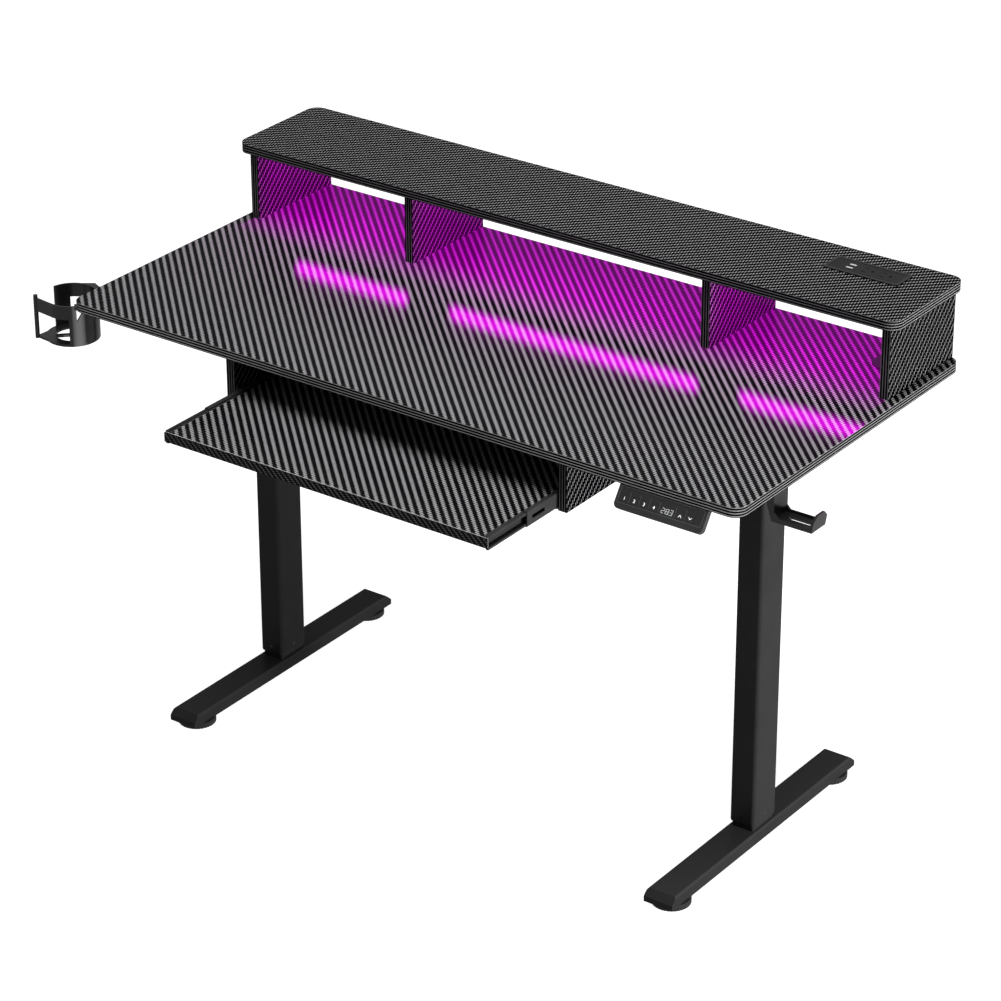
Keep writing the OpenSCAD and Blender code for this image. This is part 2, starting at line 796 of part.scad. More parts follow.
// Light bars: an extruded housing with a groove, and a half-round diffuser in it
bar_wall = 1.5;
bar_groove_w = bar_w - 2 * bar_wall;
bar_lens = 3;
bar_lens_r = (bar_w * bar_w / 4 + bar_lens * bar_lens) / (2 * bar_lens);
bar_housing_h = bar_h - bar_lens;
bar_tongue = 2;
bar_sets = [
    [-(end_panel_x + divider_x) / 2, end_bar_l], [0, middle_bar_l],
    [(end_panel_x + divider_x) / 2, end_bar_l]
];
bar_y = shelf_front + bar_setback + bar_w / 2;
module light_bar_housings() {
    color("#1a1a1b") at_desk() for (b = bar_sets)
        translate([b[0] - b[1] / 2, bar_y, shelf_z0 - bar_housing_h]) difference() {
            span([0, -bar_w / 2, 0], [b[1], bar_w / 2, bar_housing_h]);
            span(
                [-over, -bar_groove_w / 2, -over],
                [b[1] + over, bar_groove_w / 2, bar_tongue + pin_fit]
            );
        }
}
module light_bar_diffusers() {
    color("#f060ff") at_desk() for (b = bar_sets)
        translate([b[0] - b[1] / 2, bar_y, shelf_z0 - bar_housing_h]) {
            span([0, -bar_groove_w / 2 + pin_fit, -over], [b[1], bar_groove_w / 2 - pin_fit, bar_tongue]);
            intersection() {
                span([0, -bar_w / 2, -bar_lens], [b[1], bar_w / 2, 0]);
                translate([0, 0, bar_lens_r - bar_lens]) along_x(b[1]) circle(bar_lens_r);
            }
        }
}

// Power module: a housing hung in the shelf top by its flange, and a socket face let into it
module_r = 3;
module_lip = 3.5;
module_flange_t = 2;
module_flange_r = 5;
module_x = desk_right - module_side;
module_y = desk_back - module_back;
module_body_w = module_w - 2 * module_lip;
module_body_d = module_d - 2 * module_lip;
module_wall = 1.5;
module_face_t = 12;
module_face_drop = 0.5;
module_face_w = module_body_w - 2 * module_wall;
module_face_d = module_body_d - 2 * module_wall;
blade_l = 7;
blade_w = 1.8;
blade_dy = 6.35;
earth_dx = 11.8;
earth_r = 2.4;
socket_deep = 10;
socket_xs = [-3.5, 26.5];
usb_x = -27.5;
usb_dy = 5.8;
usb_w = 12;
usb_h = 4.5;
usb_tongue_h = 1.8;
usb_tongue_back = 3;
module power_module_housing() {
    color("#141415") at_desk() translate([module_x, module_y, shelf_z1]) difference() {
        union() {
            linear_extrude(module_flange_t) rounded_rect(module_w, module_d, module_flange_r);
            translate([0, 0, -module_deep]) linear_extrude(module_deep)
                rounded_rect(module_body_w, module_body_d, module_r);
        }
        translate([0, 0, module_flange_t - module_face_t]) linear_extrude(module_face_t + over)
            rounded_rect(module_face_w, module_face_d, module_r);
    }
}
module power_module_face() {
    top = module_flange_t - module_face_drop;
    color("#0e0e0f") at_desk() translate([module_x, module_y, shelf_z1]) difference() {
        translate([0, 0, module_flange_t - module_face_t])
            linear_extrude(module_face_t - module_face_drop)
                rounded_rect(
                    module_face_w - 2 * pin_fit, module_face_d - 2 * pin_fit, module_r - pin_fit
                );
        translate([0, 0, top - socket_deep]) linear_extrude(socket_deep + over) {
            for (x = socket_xs) {
                for (s = [-1, 1]) translate([x, s * blade_dy]) square([blade_l, blade_w], center = true);
                translate([x + earth_dx, 0]) circle(earth_r);
            }
            for (s = [-1, 1]) translate([usb_x, s * usb_dy]) difference() {
                square([usb_w, usb_h], center = true);
                translate([0, usb_h / 2 - usb_tongue_h / 2])
                    square([usb_w - usb_tongue_h, usb_tongue_h], center = true);
            }
        }
    }
}

// Cable grommet: a sleeve with a flange, and a lid that lies in it
grommet_lip = 3;
grommet_hole_r = grommet_r - grommet_lip;
grommet_wall = 1.6;
grommet_flange_t = 1.5;
grommet_ledge = 1.5;
grommet_lid_t = 2.5;
module cable_grommet() {
    sleeve_r = grommet_hole_r - seat_fit;
    bore_r = sleeve_r - grommet_wall;
    lid_z0 = grommet_flange_t - grommet_lid_t;
    color("#1d1d1f") at_desk()
        translate([desk_right - grommet_side, desk_back - grommet_back, desk_h]) {
            difference() {
                union() {
                    cylinder(r = grommet_r, h = grommet_flange_t);
                    translate([0, 0, -board_t]) cylinder(r = sleeve_r, h = board_t);
                }
                translate([0, 0, -board_t - over])
                    cylinder(r = bore_r - grommet_ledge, h = board_t + grommet_flange_t + 2 * over);
                translate([0, 0, lid_z0]) cylinder(r = bore_r, h = grommet_lid_t + over);
            }
            translate([0, 0, lid_z0]) cylinder(r = bore_r - seat_fit, h = grommet_lid_t);
        }
}

// Boards that carry the tray's slides
module side_board(side) {
    color("#2b2b2d") at_desk() difference() {
        span(
            [side * side_panel_x - board_t / 2, side_front, under_z - side_board_h],
            [side * side_panel_x + board_t / 2, side_back, under_z]
        );
        dowel_holes();
    }
}

// Ball slides: three nested sections, drawn for the right side in a plane whose x runs from the
// board to the tray, and mirrored for the left
middle_t0 = slide_wall + slide_gap;
middle_t1 = slide_outer_t - slide_wall - slide_gap;
middle_h = slide_h - 2 * slide_wall - 2 * slide_gap;
inner_t0 = middle_t0 + slide_wall + slide_gap;
inner_head_t1 = middle_t1 - slide_wall - slide_gap;
inner_head_h = middle_h - 2 * slide_wall - 2 * slide_gap;
inner_neck_h = inner_head_h - 2 * slide_lip;
module slide_channel(t0, t1, h, r, mouth_h) {
    translate([t0, 0]) difference() {
        translate([(t1 - t0) / 2, 0]) rounded_rect(t1 - t0, h, r);
        translate([(t1 - t0) / 2, 0])
            rounded_rect(t1 - t0 - 2 * slide_wall, h - 2 * slide_wall, r - slide_wall);
        translate([(t1 - t0) / 2, -mouth_h / 2]) square([t1 - t0, mouth_h]);
    }
}
module slide_inner_section() {
    translate([slide_t - slide_wall, -inner_neck_h / 2]) square([slide_wall, inner_neck_h]);
    for (s = [-1, 1]) mirror([0, s > 0 ? 0 : 1]) {
        translate([inner_t0, inner_neck_h / 2 - slide_wall])
            square([slide_t - inner_t0, slide_wall]);
        translate([inner_t0, inner_neck_h / 2 - slide_wall])
            square([inner_head_t1 - inner_t0, (inner_head_h - inner_neck_h) / 2 + slide_wall]);
    }
}
module on_slides() {
    for (side = [0, 1]) mirror([side, 0, 0]) translate([side_x, 0, slide_z]) children();
}
module slide_bar(y0, l) {
    translate([0, y0 + l, 0]) rotate([90, 0, 0]) linear_extrude(l) mirror([1, 0]) children();
}
slide_hole_r = 2.2;
slide_hole_share = 0.15;
slide_middle_l = slide_l - 2 * slide_middle_setback;
module slide_outer_members() {
    color("#5d6064") at_desk() on_slides() difference() {
        slide_bar(side_front, slide_l)
            slide_channel(0, slide_outer_t, slide_h, slide_r, inner_head_h);
        for (share = [slide_hole_share, 1 / 2, 1 - slide_hole_share])
            translate([-slide_wall - over / 2, side_front + share * slide_l, 0])
                along_x(slide_wall + over) circle(slide_hole_r);
    }
}
module slide_middle_members() {
    y0 = side_front + slide_middle_setback - tray_out / 2;
    color("#6b6e72") at_desk() on_slides() difference() {
        slide_bar(y0, slide_middle_l)
            slide_channel(
                middle_t0, middle_t1, middle_h, slide_r - slide_wall, inner_neck_h + 2 * slide_gap
            );
        span(
            [-middle_t0 - slide_wall - over / 2, y0 + slide_slot_inset, -slide_slot_h / 2],
            [-middle_t0 + over / 2, y0 + slide_slot_inset + slide_slot_l, slide_slot_h / 2]
        );
    }
}
module slide_inner_members() {
    color("#5d6064") at_desk() on_slides()
        slide_bar(side_front - tray_out, slide_l) slide_inner_section();
}

// Keyboard tray and the strip along its front edge
module tray_board() {
    color("#2b2b2d") at_desk() translate([0, 0, tray_z0]) linear_extrude(board_t) {
        translate([-tray_w / 2, tray_front]) square([tray_w, tray_d - tray_corner_r]);
        translate([-tray_w / 2 + tray_corner_r, tray_front])
            square([tray_w - 2 * tray_corner_r, tray_d]);
        for (s = [-1, 1])
            translate([s * (tray_w / 2 - tray_corner_r), tray_front + tray_d - tray_corner_r])
                circle(tray_corner_r);
    }
}
module tray_front_strip() {
    color("#1a1a1b") at_desk() span(
        [-tray_strip_w / 2, tray_front - tray_strip_t, tray_z0],
        [tray_strip_w / 2, tray_front, tray_z1]
    );
}

// Control box: a rounded case with two screw ears and a raised rib round its lid
module control_box() {
    color("#161617") at_desk() translate([box_x, box_y, under_z]) difference() {
        union() {
            translate([0, 0, -box_h]) linear_extrude(box_h) rounded_rect(box_w, box_d, box_r);
            translate([0, 0, -box_h / 2]) linear_extrude(box_rib)
                rounded_rect(box_w + 2 * box_rib, box_d + 2 * box_rib, box_r + box_rib);
            translate([0, 0, -box_ear_t]) linear_extrude(box_ear_t)
                rounded_rect(box_w + 2 * box_ear, box_d / 2, box_r);
        }
        for (s = [-1, 1]) translate([s * (box_w / 2 + box_ear / 2), 0, -box_ear_t - over])
            cylinder(r = screw_r + pin_fit, h = box_ear_t + 2 * over);
    }
}

// Controller: its face's own frame has x along the desk, y up the slope and z out of the face
ctrl_face_mid_y = ctrl_face_y - ctrl_face_l / 2 * cos(ctrl_slope);
ctrl_face_mid_z = under_z - ctrl_face_l / 2 * sin(ctrl_slope);
module on_face() {
    translate([ctrl_x, ctrl_face_mid_y, ctrl_face_mid_z]) rotate([ctrl_slope, 0, 0]) children();
}
module key_pockets(grow, deep) {
    for (x = key_xs) translate([x - ctrl_w / 2, -key_drop, -deep])
        linear_extrude(deep + over) square([key_w + 2 * grow, key_h + 2 * grow], center = true);
}
module controller_housing() {
    down = ctrl_face_l * [-cos(ctrl_slope), -sin(ctrl_slope)];
    thick = ctrl_slab_t * [sin(ctrl_slope), -cos(ctrl_slope)];
    top = [ctrl_face_y, under_z];
    back = ctrl_face_y + ctrl_base_d;
    slab_back = ctrl_face_y + ctrl_slab_t / sin(ctrl_slope);
    slab_middle = ctrl_face_y + ctrl_slab_t / 2 / sin(ctrl_slope);
    color("#1b1b1c") at_desk() difference() {
        union() {
            intersection() {
                translate([ctrl_x0, 0, 0]) rotate([90, 0, 90]) linear_extrude(ctrl_w)
                    polygon([top, top + down, top + down + thick, [slab_back, under_z]]);
                on_face() translate([0, 0, -2 * ctrl_slab_t]) linear_extrude(3 * ctrl_slab_t) {
                    translate([-ctrl_w / 2, -ctrl_face_l / 2 + ctrl_corner_r])
                        square([ctrl_w, 2 * ctrl_face_l]);
                    translate([-ctrl_w / 2 + ctrl_corner_r, -ctrl_face_l / 2])
                        square([ctrl_w - 2 * ctrl_corner_r, 2 * ctrl_face_l]);
                    for (s = [-1, 1])
                        translate([s * (ctrl_w / 2 - ctrl_corner_r), -ctrl_face_l / 2 + ctrl_corner_r])
                            circle(ctrl_corner_r);
                }
            }
            translate([ctrl_x - ctrl_base_dx, 0, 0]) rotate([90, 0, 90])
                linear_extrude(2 * ctrl_base_dx) polygon([
                    [slab_middle, under_z],
                    [slab_middle - ctrl_base_t / tan(ctrl_slope), under_z - ctrl_base_t],
                    [back, under_z - ctrl_base_t], [back, under_z]
                ]);
        }
        on_face() translate([0, ctrl_panel_v, -ctrl_panel_t]) linear_extrude(ctrl_panel_t + over)
            square([ctrl_w - 2 * ctrl_panel_inset, ctrl_panel_h], center = true);
        on_face() key_pockets(key_gap, key_body + key_travel + key_spare);
        for (s = [-1, 1])
            screw_hole([ctrl_x + s * ctrl_screw_dx, back - ctrl_screw_back], ctrl_base_t);
    }
}
module controller_face() {
    color("#101011") at_desk() on_face() difference() {
        translate([0, ctrl_panel_v, -ctrl_panel_t]) linear_extrude(ctrl_panel_t) square([
            ctrl_w - 2 * ctrl_panel_inset - 2 * seat_fit, ctrl_panel_h - 2 * seat_fit
        ], center = true);
        key_pockets(key_gap, ctrl_panel_t + over);
    }
}
module key(i) {
    color("#161617") at_desk() on_face()
        translate([key_xs[i] - ctrl_w / 2, -key_drop, -key_body])
            linear_extrude(key_body + key_proud) square([key_w, key_h], center = true);
}

// Cup holder: ring, floor, windows, a straight wing on the left and a flange under the desktop
cup_arc_steps = 8;
cup_cut_in_share = 0.6;
cup_cut_out_share = 1.5;
cup_edge_share = 0.9;
cup_overlap_a = 20;
cup_wing_t = 2.4;
cup_screw_edge = 9;
function cup_arc(r, a0, a1) = [
    for (i = [0 : cup_arc_steps]) let (a = a0 + (a1 - a0) * i / cup_arc_steps) r * [cos(a), sin(a)]
];
module cup_wall_cut(a0, a1, z0, z1) {
    translate([0, 0, z0]) linear_extrude(z1 - z0) polygon(concat(
        cup_arc(cup_cut_out_share * cup_r, a0, a1), cup_arc(cup_cut_in_share * cup_r, a1, a0)
    ));
}
module cup_ring() {
    rim_z = cup_h - cup_rim_drop;
    difference() {
        cylinder(r = cup_r, h = cup_h);
        translate([0, 0, cup_floor_t]) cylinder(r = cup_r - cup_wall, h = cup_h);
        cup_wall_cut(cup_back_a, cup_tangent_a, cup_floor_t, cup_h + over);
        cup_wall_cut(
            cup_tangent_a - cup_overlap_a, cup_front_window_a, cup_floor_t, rim_z - cup_band_h
        );
        cup_wall_cut(cup_rear_window_a, cup_post_a, cup_floor_t, cup_h - cup_band_h);
        cup_wall_cut(cup_tangent_a - cup_overlap_a, cup_front_end_a, rim_z, cup_h + over);
    }
}
module cup_holder() {
    rim_z = cup_h - cup_rim_drop;
    tangent = (cup_r - cup_wall / 2) * [cos(cup_tangent_a), sin(cup_tangent_a)];
    post = [-cup_wing_x, -cup_wing_y];
    wing_l = norm(post - tangent);
    wing_a = atan2(post[1] - tangent[1], post[0] - tangent[0]);
    shoulder = (cup_r - cup_wall / 2) * [cos(cup_shoulder_a), sin(cup_shoulder_a)];
    notch_a = (cup_notch_a0 + cup_notch_a1) / 2;
    notch_w = 2 * cup_r * sin((cup_notch_a1 - cup_notch_a0) / 2);
    color("#1c1c1d") at_desk() translate([cup_x, cup_y, under_z - cup_h]) difference() {
        union() {
            cup_ring();
            linear_extrude(cup_floor_t) polygon([
                [0, 0], tangent, post, cup_edge_share * cup_r * [cos(cup_back_a), sin(cup_back_a)]
            ]);
            translate([post[0], post[1], 0]) cylinder(r = cup_post_r, h = cup_h);
            translate([tangent[0], tangent[1], rim_z - cup_band_h]) rotate(wing_a)
                translate([-cup_wall, -cup_wing_t / 2, 0])
                    cube([wing_l + cup_wall, cup_wing_t, cup_band_h]);
            translate([0, 0, cup_h - cup_flange_t]) linear_extrude(cup_flange_t) difference() {
                polygon([
                    shoulder, [cup_shoulder_x, cup_shoulder_y], [cup_chamfer_x, cup_chamfer_y],
                    [cup_r + cup_flange_in, cup_chamfer_y],
                    [cup_r + cup_flange_in, -cup_screw_dy - cup_screw_edge],
                    [cup_r - cup_wall, -cup_screw_dy - cup_screw_edge]
                ]);
                circle(cup_r - cup_wall / 2);
            }
        }
        rotate(notch_a) translate([0, 0, cup_h]) rotate([90, 0, 90])
            linear_extrude(cup_r + over) polygon([
                [-notch_w / 2, -cup_notch_h], [notch_w / 2, over], [-notch_w / 2, over]
            ]);
        for (i = [0 : 3]) rotate(45 + i * 90) translate([0, 0, -over])
            linear_extrude(cup_floor_t + 2 * over) intersection() {
                difference() {
                    circle(cup_slot_r);
                    circle(cup_hub_r);
                }
                translate([cup_spoke_w / 2, cup_spoke_w / 2]) square([cup_r, cup_r]);
            }
        for (s = [-1, 1])
            translate([cup_r + cup_screw_in, s * cup_screw_dy, cup_h - cup_flange_t - over])
                cylinder(r = screw_r + pin_fit, h = cup_flange_t + 2 * over);
    }
}

// Headphone hook: a bent plate with side ribs, a slotted arm and an upturned tip
module headphone_hook() {
    floor_z = -hook_drop + hook_t;
    tip_z = -hook_drop + hook_tip_h;
    lean = hook_out - hook_arm_l;
    chamfer_side = hook_chamfer * sqrt(2);
    color("#1c1c1d") at_desk() translate([desk_right, hook_y, under_z]) difference() {
        union() {
            translate([0, hook_w / 2, 0]) rotate([90, 0, 0]) linear_extrude(hook_w) polygon([
                [-hook_flange_l, 0], [0, 0], [0, floor_z], [hook_arm_l - hook_t / 2, floor_z],
                [hook_out - hook_t, tip_z], [hook_out, tip_z], [hook_arm_l + hook_t / 2, -hook_drop],
                [-hook_t, -hook_drop], [-hook_t, -hook_t], [-hook_flange_l, -hook_t]
            ]);
            for (s = [-1, 1]) translate([0, s * (hook_w - hook_rib_t) / 2 + hook_rib_t / 2, 0])
                rotate([90, 0, 0]) linear_extrude(hook_rib_t) polygon([
                    [-hook_rib_in, -hook_t], [0, -hook_t],
                    [0, -hook_drop + hook_rib_h + hook_rib_fillet],
                    [hook_rib_fillet, -hook_drop + hook_rib_h],
                    [hook_arm_l, -hook_drop + hook_rib_h], [hook_arm_l, -hook_drop],
                    [-hook_t, -hook_drop]
                ]);
        }
        translate([0, 0, -hook_drop - over]) linear_extrude(hook_t + 2 * over) {
            translate([hook_slot_x0, -hook_slot_w / 2])
                square([hook_slot_x1 - hook_slot_x0, hook_slot_w]);
            for (x = [hook_slot_x0, hook_slot_x1]) translate([x, 0]) circle(hook_slot_w / 2);
        }
        for (s = [-1, 1]) translate([hook_arm_l - hook_t, s * hook_w / 2, tip_z])
            rotate([45, 0, 0]) cube([4 * hook_t + lean, chamfer_side, chamfer_side], center = true);
        for (s = [-1, 1]) translate([-hook_screw_in, s * hook_screw_dy, -hook_t - over])
            cylinder(r = screw_r + pin_fit, h = hook_t + 2 * over);
    }
}

foot(-1);  // foot_left
foot(1);  // foot_right
glide(-1, -1);  // glide_front_left
glide(-1, 1);  // glide_rear_left
glide(1, -1);  // glide_front_right
glide(1, 1);  // glide_rear_right
inner_tube(-1);  // inner_tube_left
inner_tube(1);  // inner_tube_right
outer_tube(-1);  // outer_tube_left
outer_tube(1);  // outer_tube_right
lower_bushes();
upper_bush(-1);  // upper_bush_left
upper_bush(1);  // upper_bush_right
spindle(-1);  // spindle_left
spindle(1);  // spindle_right
spindle_nut(-1);  // spindle_nut_left
spindle_nut(1);  // spindle_nut_right
gear_housing(-1);  // gear_housing_left
gear_housing(1);  // gear_housing_right
drive_rod();
motor_gearbox();
motor();
side_brackets();
cross_rails();
foot_bolts(-1);  // foot_bolts_left
foot_bolts(1);  // foot_bolts_right
frame_bolts();
underside_screws();
shelf_screws();
dowels();
desktop();
shelf_top();
shelf_board(-end_panel_x);  // shelf_panel_left
shelf_board(-divider_x);  // shelf_divider_left
shelf_board(divider_x);  // shelf_divider_right
shelf_board(end_panel_x);  // shelf_panel_right
light_bar_housings();
light_bar_diffusers();
power_module_housing();
power_module_face();
cable_grommet();
side_board(-1);  // side_board_left
side_board(1);  // side_board_right
slide_outer_members();
slide_middle_members();
slide_inner_members();
tray_board();
tray_front_strip();
control_box();
controller_housing();
controller_face();
key(0);  // key_1
key(1);  // key_2
key(2);  // key_3
key(3);  // key_4
key(4);  // key_up
key(5);  // key_down
cup_holder();
headphone_hook();
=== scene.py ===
import bpy, math
from mathutils import Matrix, Vector


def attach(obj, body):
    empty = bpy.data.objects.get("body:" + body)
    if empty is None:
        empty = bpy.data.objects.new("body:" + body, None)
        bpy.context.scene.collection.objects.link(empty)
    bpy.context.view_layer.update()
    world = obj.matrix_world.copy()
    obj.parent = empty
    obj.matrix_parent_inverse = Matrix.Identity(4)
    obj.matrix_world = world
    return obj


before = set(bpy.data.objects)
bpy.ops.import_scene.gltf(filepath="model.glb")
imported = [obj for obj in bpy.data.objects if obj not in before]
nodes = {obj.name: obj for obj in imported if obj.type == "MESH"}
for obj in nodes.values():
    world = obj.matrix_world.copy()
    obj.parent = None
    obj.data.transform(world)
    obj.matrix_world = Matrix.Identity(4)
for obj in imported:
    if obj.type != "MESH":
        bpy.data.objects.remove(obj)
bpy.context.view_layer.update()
print("frame loaded:", len(nodes), "nodes")

mm = 0.001
deskShift = Vector((10.75, 76.15, 0)) * mm   # where the middle of the desktop stands in the shared frame


def atDesk(x, y, z):   # a place given in the desk's own millimetres, from the middle of the desktop
    return Vector((x, y, z)) * mm + deskShift


def link(tree, a, b):
    tree.links.new(a, b)


def show(thing):
    bpy.context.scene.collection.objects.link(thing)
    return thing


# the camera that the photo's edges give: degrees, metres, the desk's millimetres and pixels
photoCamera = {
    "azimuth": 35.89, "elevation": 26.80, "roll": -0.10,
    "distance": 5.73079, "target": (1.45, -18.86, 444.65),
    "focalPixels": 3779.50, "centre": (501.49, 498.85), "framePixels": 1001,
    "sensorWidth": 36, "clip": (0.1, 100),
}


def makeCamera(c):
    azimuth, elevation, roll = (math.radians(c[k]) for k in ("azimuth", "elevation", "roll"))
    back = Vector((math.sin(azimuth) * math.cos(elevation),
                   -math.cos(azimuth) * math.cos(elevation), math.sin(elevation)))
    level = Vector((math.cos(azimuth), math.sin(azimuth), 0))
    upright = level.cross(-back)
    right = level * math.cos(roll) + upright * math.sin(roll)
    up = upright * math.cos(roll) - level * math.sin(roll)
    place = atDesk(*c["target"]) + back * c["distance"]
    data = bpy.data.cameras.new("camera")
    data.sensor_width = c["sensorWidth"]
    data.lens = c["focalPixels"] * c["sensorWidth"] / c["framePixels"]
    middle = (c["framePixels"] - 1) / 2
    data.shift_x = (middle - c["centre"][0]) / c["framePixels"]
    data.shift_y = (c["centre"][1] - middle) / c["framePixels"]
    data.clip_start, data.clip_end = c["clip"]
    camera = show(bpy.data.objects.new("camera", data))
    rows = [[right[i], up[i], back[i], place[i]] for i in range(3)] + [[0, 0, 0, 1]]
    camera.matrix_world = Matrix(rows)
    bpy.context.scene.camera = camera


makeCamera(photoCamera)
print("camera placed")

# the studio: sky and floor look white to the named rays and give all others a low light
studio = {
    "skyRays": ["Is Camera Ray", "Is Glossy Ray", "Is Transmission Ray"], "skyLight": 0.14, "skyWhite": 1.0,
    "floorRays": ["Is Camera Ray", "Is Glossy Ray"], "floorLight": 0.16, "floorWhite": 0.96,
    "floorColour": 0.40, "floorSize": 30,
    "lamps": [   # name, place, aim, size, watts
        ("keyLamp", (0.5, -0.35, 3.4), (0, 0, 0.7), 2.0, 118),
        ("sideLamp", (3.0, 0.1, 0.45), (0.45, 0, 0.4), 0.5, 135),
        ("fillLamp", (-2.6, -2.2, 1.9), (0, 0, 0.6), 1.8, 4),
    ],
}


def rayLevel(tree, rays, low, white):   # the strength that sky or floor has for each kind of ray
    path = tree.nodes.new("ShaderNodeLightPath")
    seen = path.outputs[rays[0]]
    for ray in rays[1:]:
        either = tree.nodes.new("ShaderNodeMath")
        either.operation = "MAXIMUM"
        link(tree, seen, either.inputs[0])
        link(tree, path.outputs[ray], either.inputs[1])
        seen = either.outputs[0]
    level = tree.nodes.new("ShaderNodeMapRange")
    level.inputs["To Min"].default_value = low
    level.inputs["To Max"].default_value = white
    link(tree, seen, level.inputs["Value"])
    return level.outputs[0]


def makeSky(s):
    world = bpy.data.worlds.new("studioWorld")
    bpy.context.scene.world = world
    world.use_nodes = True
    t = world.node_tree
    t.nodes.clear()
    sky = t.nodes.new("ShaderNodeBackground")
    sky.inputs["Color"].default_value = (1, 1, 1, 1)
    out = t.nodes.new("ShaderNodeOutputWorld")
    link(t, rayLevel(t, s["skyRays"], s["skyLight"], s["skyWhite"]), sky.inputs["Strength"])
    link(t, sky.outputs[0], out.inputs[0])


def makeFloor(s):
    mesh = bpy.data.meshes.new("floor")
    h = s["floorSize"] / 2
    mesh.from_pydata([(-h, -h, 0), (h, -h, 0), (h, h, 0), (-h, h, 0)], [], [(0, 1, 2, 3)])
    floor = show(bpy.data.objects.new("floor", mesh))
    material = bpy.data.materials.new("paleFloor")
    material.use_nodes = True
    t = material.node_tree
    t.nodes.clear()
    matt = t.nodes.new("ShaderNodeBsdfDiffuse")
    matt.inputs["Color"].default_value = (s["floorColour"],) * 3 + (1,)
    glow = t.nodes.new("ShaderNodeEmission")
    both = t.nodes.new("ShaderNodeAddShader")
    out = t.nodes.new("ShaderNodeOutputMaterial")
    link(t, rayLevel(t, s["floorRays"], s["floorLight"], s["floorWhite"]), glow.inputs["Strength"])
    link(t, matt.outputs[0], both.inputs[0])
    link(t, glow.outputs[0], both.inputs[1])
    link(t, both.outputs[0], out.inputs[0])
    mesh.materials.append(material)


def placeLamps(s):
    for name, place, aim, size, watts in s["lamps"]:
        data = bpy.data.lights.new(name, "AREA")
        data.shape = "DISK"
        data.size = size
        data.energy = watts
        lamp = show(bpy.data.objects.new(name, data))
        lamp.location = place
        lamp.rotation_mode = "QUATERNION"
        lamp.rotation_quaternion = (Vector(aim) - Vector(place)).to_track_quat("-Z", "Y")


bpy.context.scene.view_settings.view_transform = "Standard"
makeSky(studio)
makeFloor(studio)
placeLamps(studio)
print("studio lit")


class Nodes:   # a short way to lay out a material's nodes
    def __init__(self, name):
        self.material = bpy.data.materials.new(name)
        self.material.use_nodes = True
        self.tree = self.material.node_tree
        self.shader = self.tree.nodes["Principled BSDF"]

    def add(self, kind, **settings):
        n = self.tree.nodes.new(kind)
        for k, v in settings.items():
            setattr(n, k, v)
        return n

    def put(self, value, socket):
        if isinstance(value, bpy.types.NodeSocket):
            link(self.tree, value, socket)
        else:
            socket.default_value = value

    def math(self, operation, *values):
        n = self.add("ShaderNodeMath", operation=operation)
        for i, v in enumerate(values):
            self.put(v, n.inputs[i])
        return n.outputs[0]

    def place(self):   # the object's own coordinates, in millimetres
        coords = self.add("ShaderNodeTexCoord")
        scale = self.add("ShaderNodeVectorMath", operation="SCALE")
        link(self.tree, coords.outputs["Object"], scale.inputs[0])
        scale.inputs["Scale"].default_value = 1 / mm
        return scale.outputs[0]

    def split(self, vector):   # its X, Y and Z
        parts = self.add("ShaderNodeSeparateXYZ")
        link(self.tree, vector, parts.inputs[0])
        return parts.outputs

    def facing(self):   # how far the surface faces along X, Y and Z
        return self.split(self.add("ShaderNodeNewGeometry").outputs["Normal"])

    def stretch(self, vector, scales):
        n = self.add("ShaderNodeVectorMath", operation="MULTIPLY")
        link(self.tree, vector, n.inputs[0])
        n.inputs[1].default_value = scales
        return n.outputs[0]

    def noise(self, vector, scale, detail, roughness=0.5):
        n = self.add("ShaderNodeTexNoise")
        link(self.tree, vector, n.inputs["Vector"])
        n.inputs["Scale"].default_value = scale
        n.inputs["Detail"].default_value = detail
        n.inputs["Roughness"].default_value = roughness
        return n.outputs[0]

    def mix(self, share, a, b):   # a colour between a and b
        n = self.add("ShaderNodeMix", data_type="RGBA")
        self.put(share, n.inputs[0])
        for v, s in ((a, n.inputs[6]), (b, n.inputs[7])):
            self.put(v if isinstance(v, bpy.types.NodeSocket) else (*v, 1), s)
        return n.outputs[2]

    def span(self, value, low, high, toLow=0.0, toHigh=1.0):
        n = self.add("ShaderNodeMapRange")
        self.put(value, n.inputs["Value"])
        n.inputs["From Min"].default_value = low
        n.inputs["From Max"].default_value = high
        n.inputs["To Min"].default_value = toLow
        n.inputs["To Max"].default_value = toHigh
        return n.outputs[0]

    def bump(self, height, distance, strength):
        n = self.add("ShaderNodeBump")
        n.inputs["Distance"].default_value = distance
        n.inputs["Strength"].default_value = strength
        link(self.tree, height, n.inputs["Height"])
        link(self.tree, n.outputs[0], self.shader.inputs["Normal"])

    def set(self, **values):
        for k, v in values.items():
            self.put(v, self.shader.inputs[k.replace("_", " ")])

    def emit(self, colour, strength):
        self.set(Emission_Color=(*colour, 1), Emission_Strength=strength)


# the light bars' glow in the bays, painted as emission and as a magenta tint of the light tows, and their
# reflections painted as strips on the desktop, in the desk's millimetres
paintedBarLight = {
    "colour": (0.95, 0.004, 1.0), "paintedTint": (0.28, 0.09, 0.28), "darkShare": 0.095, "lightShare": 0.36,
    "from": 62, "full": 150, "halfWidth": 582,   # where it starts and is full, and its half width
    "paintedReflections": [(-297, 212), (112, 442), (562, 308)],   # the middle and the length of each
    "stripY": 2, "core": 9, "fade": 43, "stripDark": 0.7, "stripLight": 0.92,
    "endFade": 16, "lean": 0.72,   # their ends lean with the photo's line of sight
}
# the same painted glow on the shelf's walls, with no painted reflections
paintedWallLight = {**paintedBarLight, "darkShare": 0.04, "lightShare": 0.31, "paintedReflections": []}
